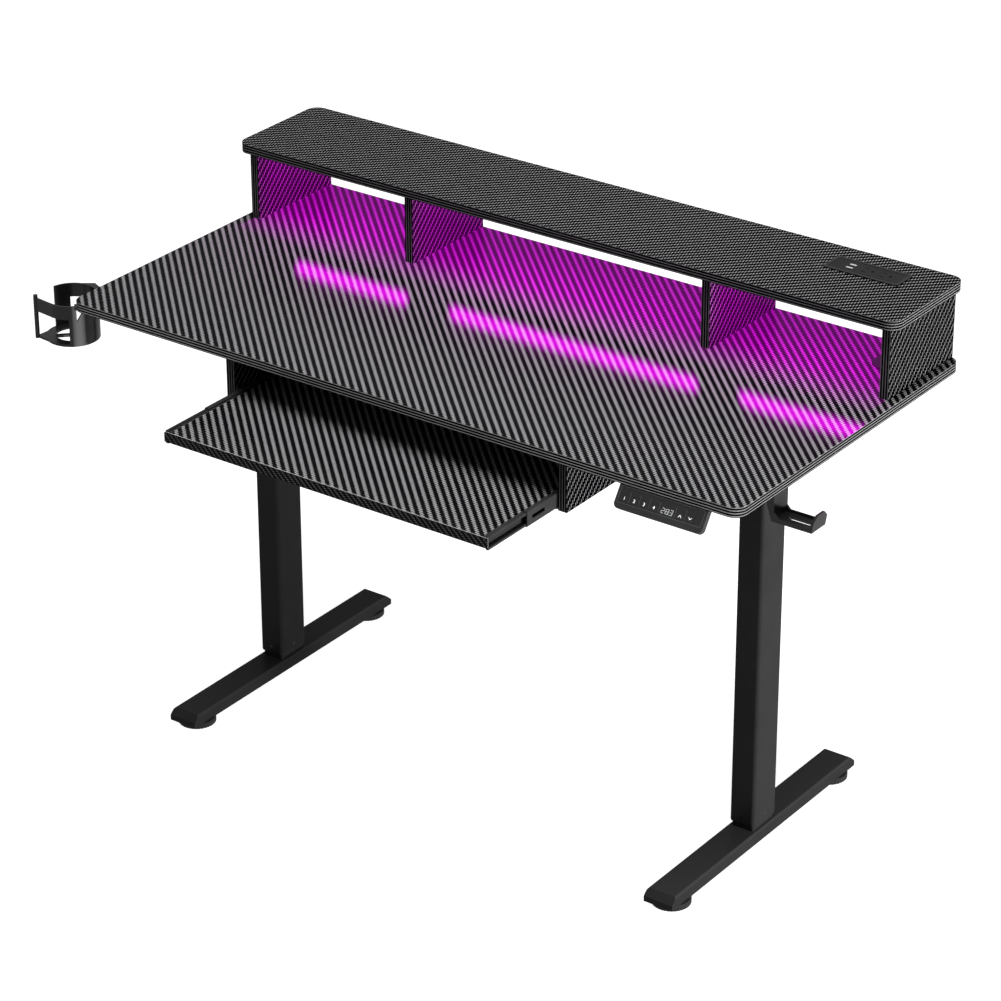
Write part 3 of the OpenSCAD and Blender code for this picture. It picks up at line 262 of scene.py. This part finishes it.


# painted light: how strongly the bars' glow and their reflection strips are painted on a face
def paintedLightLevel(n, p, lit, g):
    x = n.math("SUBTRACT", p[0], deskShift[0] / mm)
    y = n.math("SUBTRACT", p[1], deskShift[1] / mm)
    inside = n.math("LESS_THAN", n.math("ABSOLUTE", x), g["halfWidth"])
    under = n.math("MULTIPLY", inside, n.span(y, g["from"], g["full"]))
    level = n.math("MULTIPLY", under, n.span(lit, 0, 1, g["darkShare"], g["lightShare"]))
    back = n.math("SUBTRACT", y, g["stripY"])
    near = n.span(n.math("ABSOLUTE", back), g["core"], g["fade"], 1.0, 0.0)
    leaning = n.math("ADD", x, n.math("MULTIPLY", back, g["lean"]))
    for middle, length in g["paintedReflections"]:
        off = n.math("ABSOLUTE", n.math("SUBTRACT", leaning, middle))
        along = n.span(off, (length - g["endFade"]) / 2, (length + g["endFade"]) / 2, 1.0, 0.0)
        strip = n.math("MULTIPLY", n.math("MULTIPLY", along, near), near)
        shine = n.span(lit, 0, 1, g["stripDark"], g["stripLight"])
        level = n.math("ADD", level, n.math("MULTIPLY", strip, shine))
    return level, under


# the decorated boards: the weave of their faces and the fine lines along their edges,
# with each noise as its scale per millimetre, its detail and its roughness
deskLook = {
    "light": (0.345, 0.34, 0.345), "lightEdge": (0.07, 0.07, 0.072),
    "dark": (0.0015, 0.0015, 0.002), "darkRidge": (0.008, 0.008, 0.0085),
    "share": 0.38, "length": 1.62, "repeat": 4.0,   # a light tow's half width, length and repeat, in cells
    "round": 0.6, "noiseStretch": 0.25,
    "fray": 1.0, "frayNoise": (0.8, 3.0, 0.7), "fibreNoise": (1.1, 4.0, 0.75),
    "fibreLow": 0.35, "fibreHigh": 0.65, "ridgeHigh": 0.7, "fibreShare": 0.45,
    # painted shade: the edge lines on faces that look along X get a darker colour
    "black": (0.001, 0.001, 0.0012), "line": (0.4, 0.4, 0.405), "paintedShadeSideLine": (0.17, 0.17, 0.172),
    "linePitch": 4.3, "lineShare": 0.3, "faceLimit": 0.7,
    "roughness": 0.5, "coat": 0.05, "coatRoughness": 0.15, "coatSpread": 0.03, "bump": (0.00002, 0.4),
}
panelLook = {
    **deskLook, "light": (0.29, 0.29, 0.293), "lightEdge": (0.03, 0.03, 0.032), "share": 0.27, "length": 1.6,
    "fray": 0.4, "dark": (0.0006, 0.0006, 0.0007), "darkRidge": (0.002, 0.002, 0.0022), "coat": 0.03,
    "line": (0.13, 0.13, 0.133),
}
shelfLook = {**panelLook, "fray": 0.12}
# painted shade: the panels' look with darker light tows, for the end panel and the side boards that the side
# lamp lights
paintedShadePanelLook = {**panelLook, "light": (0.15, 0.15, 0.152)}
stripLook = {**deskLook, "light": (0.11, 0.11, 0.112), "lightEdge": (0.05, 0.05, 0.052)}
weaves = {   # a cell of the weave in millimetres, the way it steps, the axis that the woven faces look along
    "deskWeave": {"cell": 3.97, "slant": -1, "flat": "Z", "look": deskLook, "glow": paintedBarLight},
    "trayWeave": {"cell": 3.97, "slant": -1, "flat": "Z", "look": deskLook},
    "shelfWeave": {"cell": 3.4, "slant": 1, "flat": "Z", "look": shelfLook},
    "panelWeave": {"cell": 3.6, "slant": 1, "flat": "X", "look": panelLook, "glow": paintedWallLight},
    "endWeave": {"cell": 3.6, "slant": 1, "flat": "X", "look": paintedShadePanelLook, "glow": paintedWallLight},
    "sideWeave": {"cell": 3.6, "slant": 1, "flat": "X", "look": paintedShadePanelLook},
    "stripWeave": {"cell": 2.6, "slant": -1, "flat": "Y", "look": stripLook},
}
weaveAxes = {"X": (0, 2, 1), "Y": (1, 0, 2), "Z": (2, 1, 0)}   # out of a face, along its tows and across them


def dome(n, f):   # 0 at both ends of a cell and 1 in its middle
    return n.math("MULTIPLY", n.math("MULTIPLY", f, n.math("SUBTRACT", 1.0, f)), 4.0)


def weaveColour(n, place, along, across, cell, slant, look):
    # two-over-two twill: light tows run along one axis and step one cell sideways each time
    a = n.math("DIVIDE", along, cell)
    b = n.math("DIVIDE", across, cell)
    fb = n.math("FRACT", b)
    domeA = dome(n, n.math("FRACT", a))
    domeB = dome(n, fb)
    inTow = n.math("LESS_THAN", n.math("ABSOLUTE", n.math("SUBTRACT", fb, 0.5)), look["share"])
    step = n.math("ADD" if slant < 0 else "SUBTRACT", n.math("FLOOR", b), a)
    fray = n.math("MULTIPLY", n.math("SUBTRACT", n.noise(place, *look["frayNoise"]), 0.5), look["fray"])
    turn = n.math("FLOORED_MODULO", n.math("ADD", step, fray), look["repeat"])
    isLight = n.math("MULTIPLY", n.math("LESS_THAN", turn, look["length"]), inTow)
    fibre = n.noise(place, *look["fibreNoise"])
    lit = n.mix(n.math("POWER", domeB, look["round"]), look["lightEdge"], look["light"])
    worn = n.span(fibre, look["fibreLow"], look["fibreHigh"], 0.0, look["fibreShare"])
    lit = n.mix(worn, lit, look["lightEdge"])
    ridge = n.math("MULTIPLY", domeA, n.span(fibre, look["fibreLow"], look["ridgeHigh"]))
    shade = n.mix(ridge, look["dark"], look["darkRidge"])
    low = n.math("MULTIPLY", n.math("SUBTRACT", 1.0, isLight), domeA)
    height = n.math("ADD", n.math("MULTIPLY", isLight, domeB), low)
    return n.mix(isLight, shade, lit), height, isLight


def lineColour(n, value, sideways, look):   # fine light lines across one axis
    f = n.math("FRACT", n.math("DIVIDE", value, look["linePitch"]))
    # painted shade: the lines on faces that look along X are darker
    line = n.mix(n.math("ABSOLUTE", sideways), look["line"], look["paintedShadeSideLine"])
    return n.mix(n.math("LESS_THAN", f, look["lineShare"]), look["black"], line)


def laminate(name, cell, slant, flat, look, glow=None):
    n = Nodes(name)
    place = n.place()
    p = n.split(place)
    face = n.facing()
    out, along, across = weaveAxes[flat]
    scales = [look["noiseStretch"] if axis == along else 1 for axis in range(3)]
    colour, height, light = weaveColour(n, n.stretch(place, scales), p[along], p[across], cell, slant, look)
    onFlat = n.math("GREATER_THAN", n.math("ABSOLUTE", face[out]), look["faceLimit"])
    edge = lineColour(n, p[out], face[0], look)
    dull = look["coatRoughness"] + look["coatSpread"]
    shiny = look["coatRoughness"] - look["coatSpread"]
    n.set(Coat_Weight=look["coat"], Coat_Roughness=n.span(height, 0, 1, dull, shiny))
    # painted light: the bars' glow and reflections as emission on the flat faces, and their light painted
    # into the light tows as a magenta tint
    if glow:
        level, under = paintedLightLevel(n, p, light, glow)
        n.emit(glow["colour"], n.math("MULTIPLY", onFlat, level))
        colour = n.mix(n.math("MULTIPLY", under, light), colour, glow["paintedTint"])
    n.set(Base_Color=n.mix(onFlat, edge, colour), Roughness=look["roughness"], Specular_IOR_Level=0.0)
    n.bump(height, *look["bump"])
    return n.material


# the paints and plastics share a fine grain and broad worn patches: grain is its scale per millimetre,
# depth the height of its bumps in metres
paintGrain = {
    "detail": 3.0, "roughness": 0.6, "patches": (0.02, 2.0), "low": 0.3, "high": 0.7,
    "smoother": 0.05, "rougher": 0.06, "bump": 0.5, "paintedLightFrom": 0.2, "paintedLightFull": 0.8,
}
holderPaintedHighlight = {   # a painted highlight: the bright upright band, given as emission, where the cup holder's round wall faces along aim
    "aim": (0.829, -0.559), "edge": 0.966, "full": 0.998, "strength": 0.127, "centre": (-642, -253),
}
powder = {"roughness": 0.36, "grain": 1.6, "depth": 0.00004, "specular": 0.0, "wear": 0.15, "coat": 0.08}
moulded = {"colour": (0.008, 0.008, 0.0085), "roughness": 0.25, "specular": 0.0, "coat": 0.35}
smooth = {"grain": 0.3, "depth": 0.00001, "specular": 0.0}
printed = {"roughness": 0.4, "grain": 0.6}
paints = {
    "powderBlack": {**powder, "colour": (0.02, 0.02, 0.0205)},
    # painted light: the feet's faces that look up are painted lighter by top
    "footBlack": {**powder, "colour": (0.018, 0.018, 0.0185), "top": 1.7},
    "mouldedBlack": moulded,
    "holderBlack": {**moulded, "paintedHighlight": holderPaintedHighlight},
    "controllerBlack": {"colour": (0.024, 0.0245, 0.024), "roughness": 0.3, "specular": 0.0, "coat": 0.3},
    # painted light: lit is the bars' magenta glow painted on the grommet as emission
    "grommetBlack": {"colour": (0.006, 0.006, 0.0065), "roughness": 0.32, "specular": 0.0, "coat": 0.1,
                     "lit": 0.06},
    "ribbedBlack": {"colour": (0.02, 0.02, 0.0205), "roughness": 0.45, "grain": 0.7, "depth": 0.00004,
                    "specular": 0.0, "coat": 0.25},
    "faceBlack": {**smooth, "colour": (0.014, 0.0135, 0.0135), "roughness": 0.3, "coat": 0.15},
    "glossBlack": {**smooth, "colour": (0.02, 0.0205, 0.02), "roughness": 0.16, "coat": 0.3},
    "darkAlloy": {"colour": (0.07, 0.07, 0.075), "roughness": 0.45, "grain": 0.5, "depth": 0.00008,
                  "metallic": 0.6},
    "motorPaint": {"colour": (0.05, 0.05, 0.055), "roughness": 0.35, "grain": 0.8, "metallic": 0.5},
    "screwBlack": {"colour": (0.02, 0.02, 0.022), "roughness": 0.35, "grain": 1.2, "depth": 0.00002,
                   "metallic": 0.8},
    "beech": {"colour": (0.5, 0.33, 0.17), "roughness": 0.6, "grain": 0.4, "depth": 0.00005},
    "slideBlack": {"colour": (0.028, 0.028, 0.029), "roughness": 0.4, "grain": 1.2, "specular": 0.0,
                   "coat": 0.12},
    "lineGrey": {**printed, "colour": (0.075, 0.077, 0.077)},
    "usbGrey": {**printed, "colour": (0.5, 0.5, 0.51)},
}


def alongAim(n, p, aim):   # how far p reaches in a level direction
    return n.math("ADD", n.math("MULTIPLY", p[0], aim[0]), n.math("MULTIPLY", p[1], aim[1]))


# painted highlight: the emission of the cup holder's bright band
def paintedHighlightLevel(n, p, paintedHighlight):
    centre = Vector(paintedHighlight["centre"]).to_3d() + deskShift / mm
    fromCentre = [n.math("SUBTRACT", p[i], centre[i]) for i in range(2)]
    toward = alongAim(n, n.facing(), paintedHighlight["aim"])
    ahead = n.math("GREATER_THAN", alongAim(n, fromCentre, paintedHighlight["aim"]), 0)
    return n.math("MULTIPLY", n.span(toward, paintedHighlight["edge"], paintedHighlight["full"], 0.0, paintedHighlight["strength"]), ahead)


def paint(name, colour, roughness, grain=0.9, depth=0.00003, metallic=0.0, specular=0.5, wear=0.25, coat=0.0,
          lit=0.0, top=1.0, paintedHighlight=None):
    s = paintGrain
    n = Nodes(name)
    place = n.place()
    fine = n.noise(place, grain, s["detail"], s["roughness"])
    patches = n.span(n.noise(place, *s["patches"]), s["low"], s["high"])
    base = n.mix(patches, colour, tuple(c * (1 - wear) for c in colour))
    if top != 1.0:   # painted light: the faces that look up are painted lighter
        paintedTopLight = n.span(n.facing()[2], s["paintedLightFrom"], s["paintedLightFull"])
        base = n.mix(paintedTopLight, base, tuple(c * top for c in colour))
    rough = n.span(fine, s["low"], s["high"], roughness - s["smoother"], roughness + s["rougher"])
    n.set(Base_Color=base, Roughness=rough, Metallic=metallic, Specular_IOR_Level=specular)
    n.set(Coat_Weight=coat, Coat_Roughness=roughness)
    # painted highlight: the bright band on the cup holder as emission
    if paintedHighlight:
        n.emit((1, 1, 1), paintedHighlightLevel(n, n.split(place), paintedHighlight))
    else:
        # painted light: lit paints the bars' magenta glow on as emission
        n.emit(paintedBarLight["colour"], lit)
    n.bump(fine, depth, s["bump"])
    return n.material


# the bare metals, brushed along X
brushing = {
    "stretch": (0.02, 1.5, 1.5), "noise": (1.0, 4.0, 0.7), "low": 0.3, "high": 0.7,
    "darker": 0.6, "spread": 0.08, "bump": (0.00002, 0.4),
}
metals = {
    "turnedSteel": {"colour": (0.45, 0.46, 0.48), "roughness": 0.3},
    "nutBrass": {"colour": (0.62, 0.44, 0.18), "roughness": 0.32},
}


def brushed(name, colour, roughness):
    s = brushing
    n = Nodes(name)
    grain = n.noise(n.stretch(n.place(), s["stretch"]), *s["noise"])
    darker = tuple(c * s["darker"] for c in colour)
    rough = n.span(grain, s["low"], s["high"], roughness - s["spread"], roughness + s["spread"])
    n.set(Base_Color=n.mix(n.span(grain, s["low"], s["high"]), darker, colour), Metallic=1.0, Roughness=rough)
    n.bump(grain, *s["bump"])
    return n.material


# what shines by itself: the light bars, the buttons' marks and the display's figures
haze = {"noise": (0.05, 2.0), "roughness": 0.5}
lights = {
    "barLight": {"colour": (1.0, 0.02, 1.0), "strength": 40.0},
    "digitLight": {"colour": (0.86, 0.88, 0.9), "strength": 0.75},
    "displayLight": {"colour": (0.8, 0.84, 0.86), "strength": 0.06},
}


def glowing(name, colour, strength):
    n = Nodes(name)
    pale = tuple((1 + c) / 2 for c in colour)
    n.set(Base_Color=n.mix(n.noise(n.place(), *haze["noise"]), colour, pale), Roughness=haze["roughness"])
    n.emit(colour, strength)
    return n.material


materials = {}
for make, kinds in ((laminate, weaves), (paint, paints), (brushed, metals), (glowing, lights)):
    for name, look in kinds.items():
        materials[name] = make(name, **look)
print("materials made:", len(materials))

finishes = {
    "deskWeave": ["desktop"],
    "trayWeave": ["tray_board"],
    "shelfWeave": ["shelf_top"],
    "stripWeave": ["tray_front_strip"],
    "panelWeave": ["shelf_panel_left", "shelf_divider_left", "shelf_divider_right"],
    "endWeave": ["shelf_panel_right"],
    "sideWeave": ["side_board_left", "side_board_right"],
    "footBlack": ["foot_left", "foot_right"],
    "powderBlack": ["inner_tube_left", "inner_tube_right", "outer_tube_left", "outer_tube_right",
                    "side_brackets", "cross_rails"],
    "holderBlack": ["cup_holder"],
    "mouldedBlack": ["light_bar_housings", "power_module_housing", "control_box", "headphone_hook",
                     "lower_bushes", "upper_bush_left", "upper_bush_right"],
    "controllerBlack": ["controller_housing"],
    "grommetBlack": ["cable_grommet"],
    "ribbedBlack": ["glide_front_left", "glide_rear_left", "glide_front_right", "glide_rear_right"],
    "faceBlack": ["power_module_face"],
    "glossBlack": ["controller_face", "key_1", "key_2", "key_3", "key_4", "key_up", "key_down"],
    "darkAlloy": ["gear_housing_left", "gear_housing_right", "motor_gearbox"],
    "motorPaint": ["motor"],
    "screwBlack": ["foot_bolts_left", "foot_bolts_right", "frame_bolts", "underside_screws", "shelf_screws"],
    "beech": ["dowels"],
    "slideBlack": ["slide_outer_members", "slide_middle_members", "slide_inner_members"],
    "turnedSteel": ["spindle_left", "spindle_right", "drive_rod"],
    "nutBrass": ["spindle_nut_left", "spindle_nut_right"],
    "barLight": ["light_bar_diffusers"],
}
softEdges = {   # the pieces whose edges catch the light, by the width of their bevels in millimetres
    "segments": 2, "fromDegrees": 40,
    "widths": {
        0.8: ["desktop", "shelf_top"],
        0.6: ["tray_board"],
        0.5: ["shelf_panel_left", "shelf_divider_left", "shelf_divider_right", "shelf_panel_right",
              "side_board_left", "side_board_right", "controller_housing", "foot_left", "foot_right",
              "cup_holder", "headphone_hook"],
    },
}


def giveFinishes():
    for finish, names in finishes.items():
        for name in names:
            mesh = nodes[name].data
            mesh.materials.clear()
            mesh.materials.append(materials[finish])


def softenEdges(s):
    for width, names in s["widths"].items():
        for name in names:
            bevel = nodes[name].modifiers.new("soften", "BEVEL")
            bevel.width = width * mm
            bevel.segments = s["segments"]
            bevel.limit_method = "ANGLE"
            bevel.angle_limit = math.radians(s["fromDegrees"])
            bevel.use_clamp_overlap = True


giveFinishes()
softenEdges(softEdges)
bare = set(nodes) - {name for names in finishes.values() for name in names}
print("finishes given, without one:", sorted(bare))


def addMesh(name, mesh, finish, body, matrix):
    mesh.materials.clear()
    mesh.materials.append(materials[finish])
    mesh.transform(matrix)
    o = show(bpy.data.objects.new(name, mesh))
    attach(o, body)


def addBlocks(name, parts, finish, body, matrix):   # each part is its vertices and faces
    vertices, faces = [], []
    for v, f in parts:
        faces += [tuple(i + len(vertices) for i in face) for face in f]
        vertices += v
    mesh = bpy.data.meshes.new(name)
    mesh.from_pydata([tuple(Vector(v) * mm) for v in vertices], [], faces)
    addMesh(name, mesh, finish, body, matrix)


def plate(x, y, w, h, low, high):   # a thin block on a face
    corners = ((-1, -1), (1, -1), (1, 1), (-1, 1))
    v = [(x + sx * w / 2, y + sy * h / 2, z) for z in (low, high) for sx, sy in corners]
    f = [(3, 2, 1, 0), (4, 5, 6, 7), (0, 1, 5, 4), (1, 2, 6, 5), (2, 3, 7, 6), (3, 0, 4, 7)]
    return v, f


# the controller's marks, in millimetres: places along the desk, and rows and sizes on its face,
# which slopes down from upperEdge
controller = {
    "upperEdge": (477.5, -298, 704), "halfFace": 17.6, "slope": 55.4,
    "keyRow": -1.8, "keyLift": 0.3, "inkDepth": 0.12,
    "digits": {"1": 419, "2": 435.2, "3": 451.4, "4": 467.6}, "digitHeight": 4.6,
    "digitShare": 0.69, "curveSteps": 4,   # the digits' share of the font's size, and their roundness
    "arrows": {"up": 510.4, "down": 526.6}, "arrowSize": (5.2, 3.0),
    "arrowStroke": 0.8, "arrowSteep": 1.3,   # a stroke's width, and a slanted one's reach in such widths
    "display": "28.3", "displayMiddle": 489.2, "displaySize": (25, 11.4), "displayLift": 0.3,
    "windowDepth": 0.1, "figure": (4.4, 7.0), "figureStep": 6.6, "figureStroke": 0.5, "figureGap": 0.6,
    "figureLean": 0.1,
    "separators": [427.1, 443.3, 459.5, 475.7, 502.2, 518.5],
    "separatorSize": (0.5, 15.5), "separatorRow": 1.0,
    "frame": (136.0, 23.4, 0.5), "frameRow": 3.2,   # its width, height and line
}
segments = {   # the bars of a seven-bar figure that each digit lights
    "2": "abged", "8": "abcdefg", "3": "abgcd",
}


def facePlace(c):   # the frame of the controller's face
    slope = math.radians(c["slope"])
    x, y, z = c["upperEdge"]
    middle = atDesk(x, y - c["halfFace"] * math.cos(slope), z - c["halfFace"] * math.sin(slope))
    return Matrix.Translation(middle) @ Matrix.Rotation(slope, 4, "X")


def writing(name, text, c):   # a mesh of raised figures
    curve = bpy.data.curves.new(name + "Outline", "FONT")
    curve.body = text
    curve.align_x, curve.align_y = "CENTER", "CENTER"
    curve.size = c["digitHeight"] * mm / c["digitShare"]
    curve.extrude = c["inkDepth"] * mm / 2
    curve.resolution_u = c["curveSteps"]
    holder = show(bpy.data.objects.new(name + "Outline", curve))
    bpy.context.view_layer.update()
    made = bpy.data.meshes.new_from_object(holder.evaluated_get(bpy.context.evaluated_depsgraph_get()))
    bpy.data.objects.remove(holder)
    return made


def arrow(x, y, w, h, stroke, up, low, high):   # two slanted strokes that meet in a point
    s = 1 if up else -1
    outer = [(x - w / 2, y - s * h / 2), (x, y + s * h / 2), (x + w / 2, y - s * h / 2)]
    inner = [(px, py - s * stroke) for px, py in outer]
    outline = outer + inner[::-1]
    k = len(outline)
    v = [(px, py, z) for z in (low, high) for px, py in outline]
    f = [(0, 1, 4, 5), (1, 2, 3, 4), (6, 7, 10, 11), (7, 8, 9, 10)]
    f += [(i, (i + 1) % k, (i + 1) % k + k, i + k) for i in range(k)]
    return v, f


def figures(c, x, y, low, high):   # the display's figures, made of slim bars
    w, h = c["figure"]
    t = c["figureStroke"]
    g = t * c["figureGap"]
    bars = {"a": (0, h / 2, w - g, t), "g": (0, 0, w - g, t), "d": (0, -h / 2, w - g, t),
            "b": (w / 2, h / 4, t, h / 2 - g), "c": (w / 2, -h / 4, t, h / 2 - g),
            "e": (-w / 2, -h / 4, t, h / 2 - g), "f": (-w / 2, h / 4, t, h / 2 - g)}
    shown = [d for d in c["display"] if d in segments]
    parts = []
    for i, d in enumerate(shown):
        middle = x + (i - (len(shown) - 1) / 2) * c["figureStep"]
        for s in segments[d]:
            bx, by, bw, bh = bars[s]
            v, f = plate(middle + bx, y + by, bw, bh, low, high)
            parts.append(([(px + (py - y) * c["figureLean"], py, pz) for px, py, pz in v], f))
    parts.append(plate(x + c["figureStep"] / 2, y - h / 2, t, t, low, high))
    return parts


def makeController(c):
    put = facePlace(c)
    cx = c["upperEdge"][0]
    row, key, ink, glass = c["keyRow"], c["keyLift"], c["inkDepth"], c["windowDepth"]
    for digit, x in c["digits"].items():
        name = "digit_" + digit
        middle = Matrix.Translation(Vector((x - cx, row, key + ink / 2)) * mm)
        addMesh(name, writing(name, digit, c), "digitLight", "button_" + digit, put @ middle)
    stroke = c["arrowStroke"] * c["arrowSteep"]
    for way, x in c["arrows"].items():
        mark = arrow(x - cx, row, *c["arrowSize"], stroke, way == "up", key, key + ink)
        addBlocks("arrow_" + way, [mark], "digitLight", "button_" + way, put)
    x = c["displayMiddle"] - cx
    window = plate(x, row, *c["displaySize"], 0, glass)
    addBlocks("display_window", [window], "glossBlack", "top", put)
    strokes = figures(c, x, row + c["displayLift"], glass, glass + ink)
    addBlocks("display_digits", strokes, "displayLight", "top", put)
    lines = [plate(x - cx, c["separatorRow"], *c["separatorSize"], 0, ink) for x in c["separators"]]
    w, h, t = c["frame"]
    y = c["frameRow"]
    lines += [plate(0, y + s * h / 2, w, t, 0, ink) for s in (-1, 1)]
    lines += [plate(s * w / 2, y, t, h, 0, ink) for s in (-1, 1)]
    addBlocks("controller_lines", lines, "lineGrey", "top", put)


makeController(controller)
print("controller marked")

# the socket module's marks, in millimetres from the middle of its face; the spans go from below to above it
sockets = {
    "middle": (471.5, 238.5), "top": 849.5,
    "tongues": [(-28, 6.5), (-28, -5.1)], "tongueSize": (11, 3), "tongueSpan": (-0.4, 0.1),
    "outlets": [2, 32], "outletSize": (27, 30), "outletCorner": 4, "cornerSteps": 6,
    "outletRim": 0.7, "outletSpan": (-0.1, 0.25),
}


def ring(x, y, w, h, corner, rim, low, high, steps):   # a rounded frame
    def outline(grow):
        points = []
        for sx, sy, start in ((1, 1, 0), (-1, 1, 90), (-1, -1, 180), (1, -1, 270)):
            for i in range(steps + 1):
                a = math.radians(start + 90 * i / steps)
                points.append((x + sx * (w / 2 - corner) + (corner + grow) * math.cos(a),
                               y + sy * (h / 2 - corner) + (corner + grow) * math.sin(a)))
        return points
    outer, inner = outline(0), outline(-rim)
    k = len(outer)
    v = [(*p, z) for z in (low, high) for points in (outer, inner) for p in points]
    f = []
    for i in range(k):
        j = (i + 1) % k
        f += [(i, j, j + k, i + k)[::-1], (i + 2 * k, j + 2 * k, j + 3 * k, i + 3 * k)]
        f += [(i, j, j + 2 * k, i + 2 * k), (i + k, j + k, j + 3 * k, i + 3 * k)[::-1]]
    return v, f


def makeSockets(s):
    put = Matrix.Translation(atDesk(*s["middle"], 0))
    low, high = (s["top"] + z for z in s["tongueSpan"])
    tongues = [plate(x, y, *s["tongueSize"], low, high) for x, y in s["tongues"]]
    addBlocks("usb_tongues", tongues, "usbGrey", "top", put)
    low, high = (s["top"] + z for z in s["outletSpan"])
    rims = [ring(x, 0, *s["outletSize"], s["outletCorner"], s["outletRim"], low, high, s["cornerSteps"])
            for x in s["outlets"]]
    addBlocks("outlet_rims", rims, "mouldedBlack", "top", put)


makeSockets(sockets)
print("sockets dressed")

bpy.context.view_layer.update()
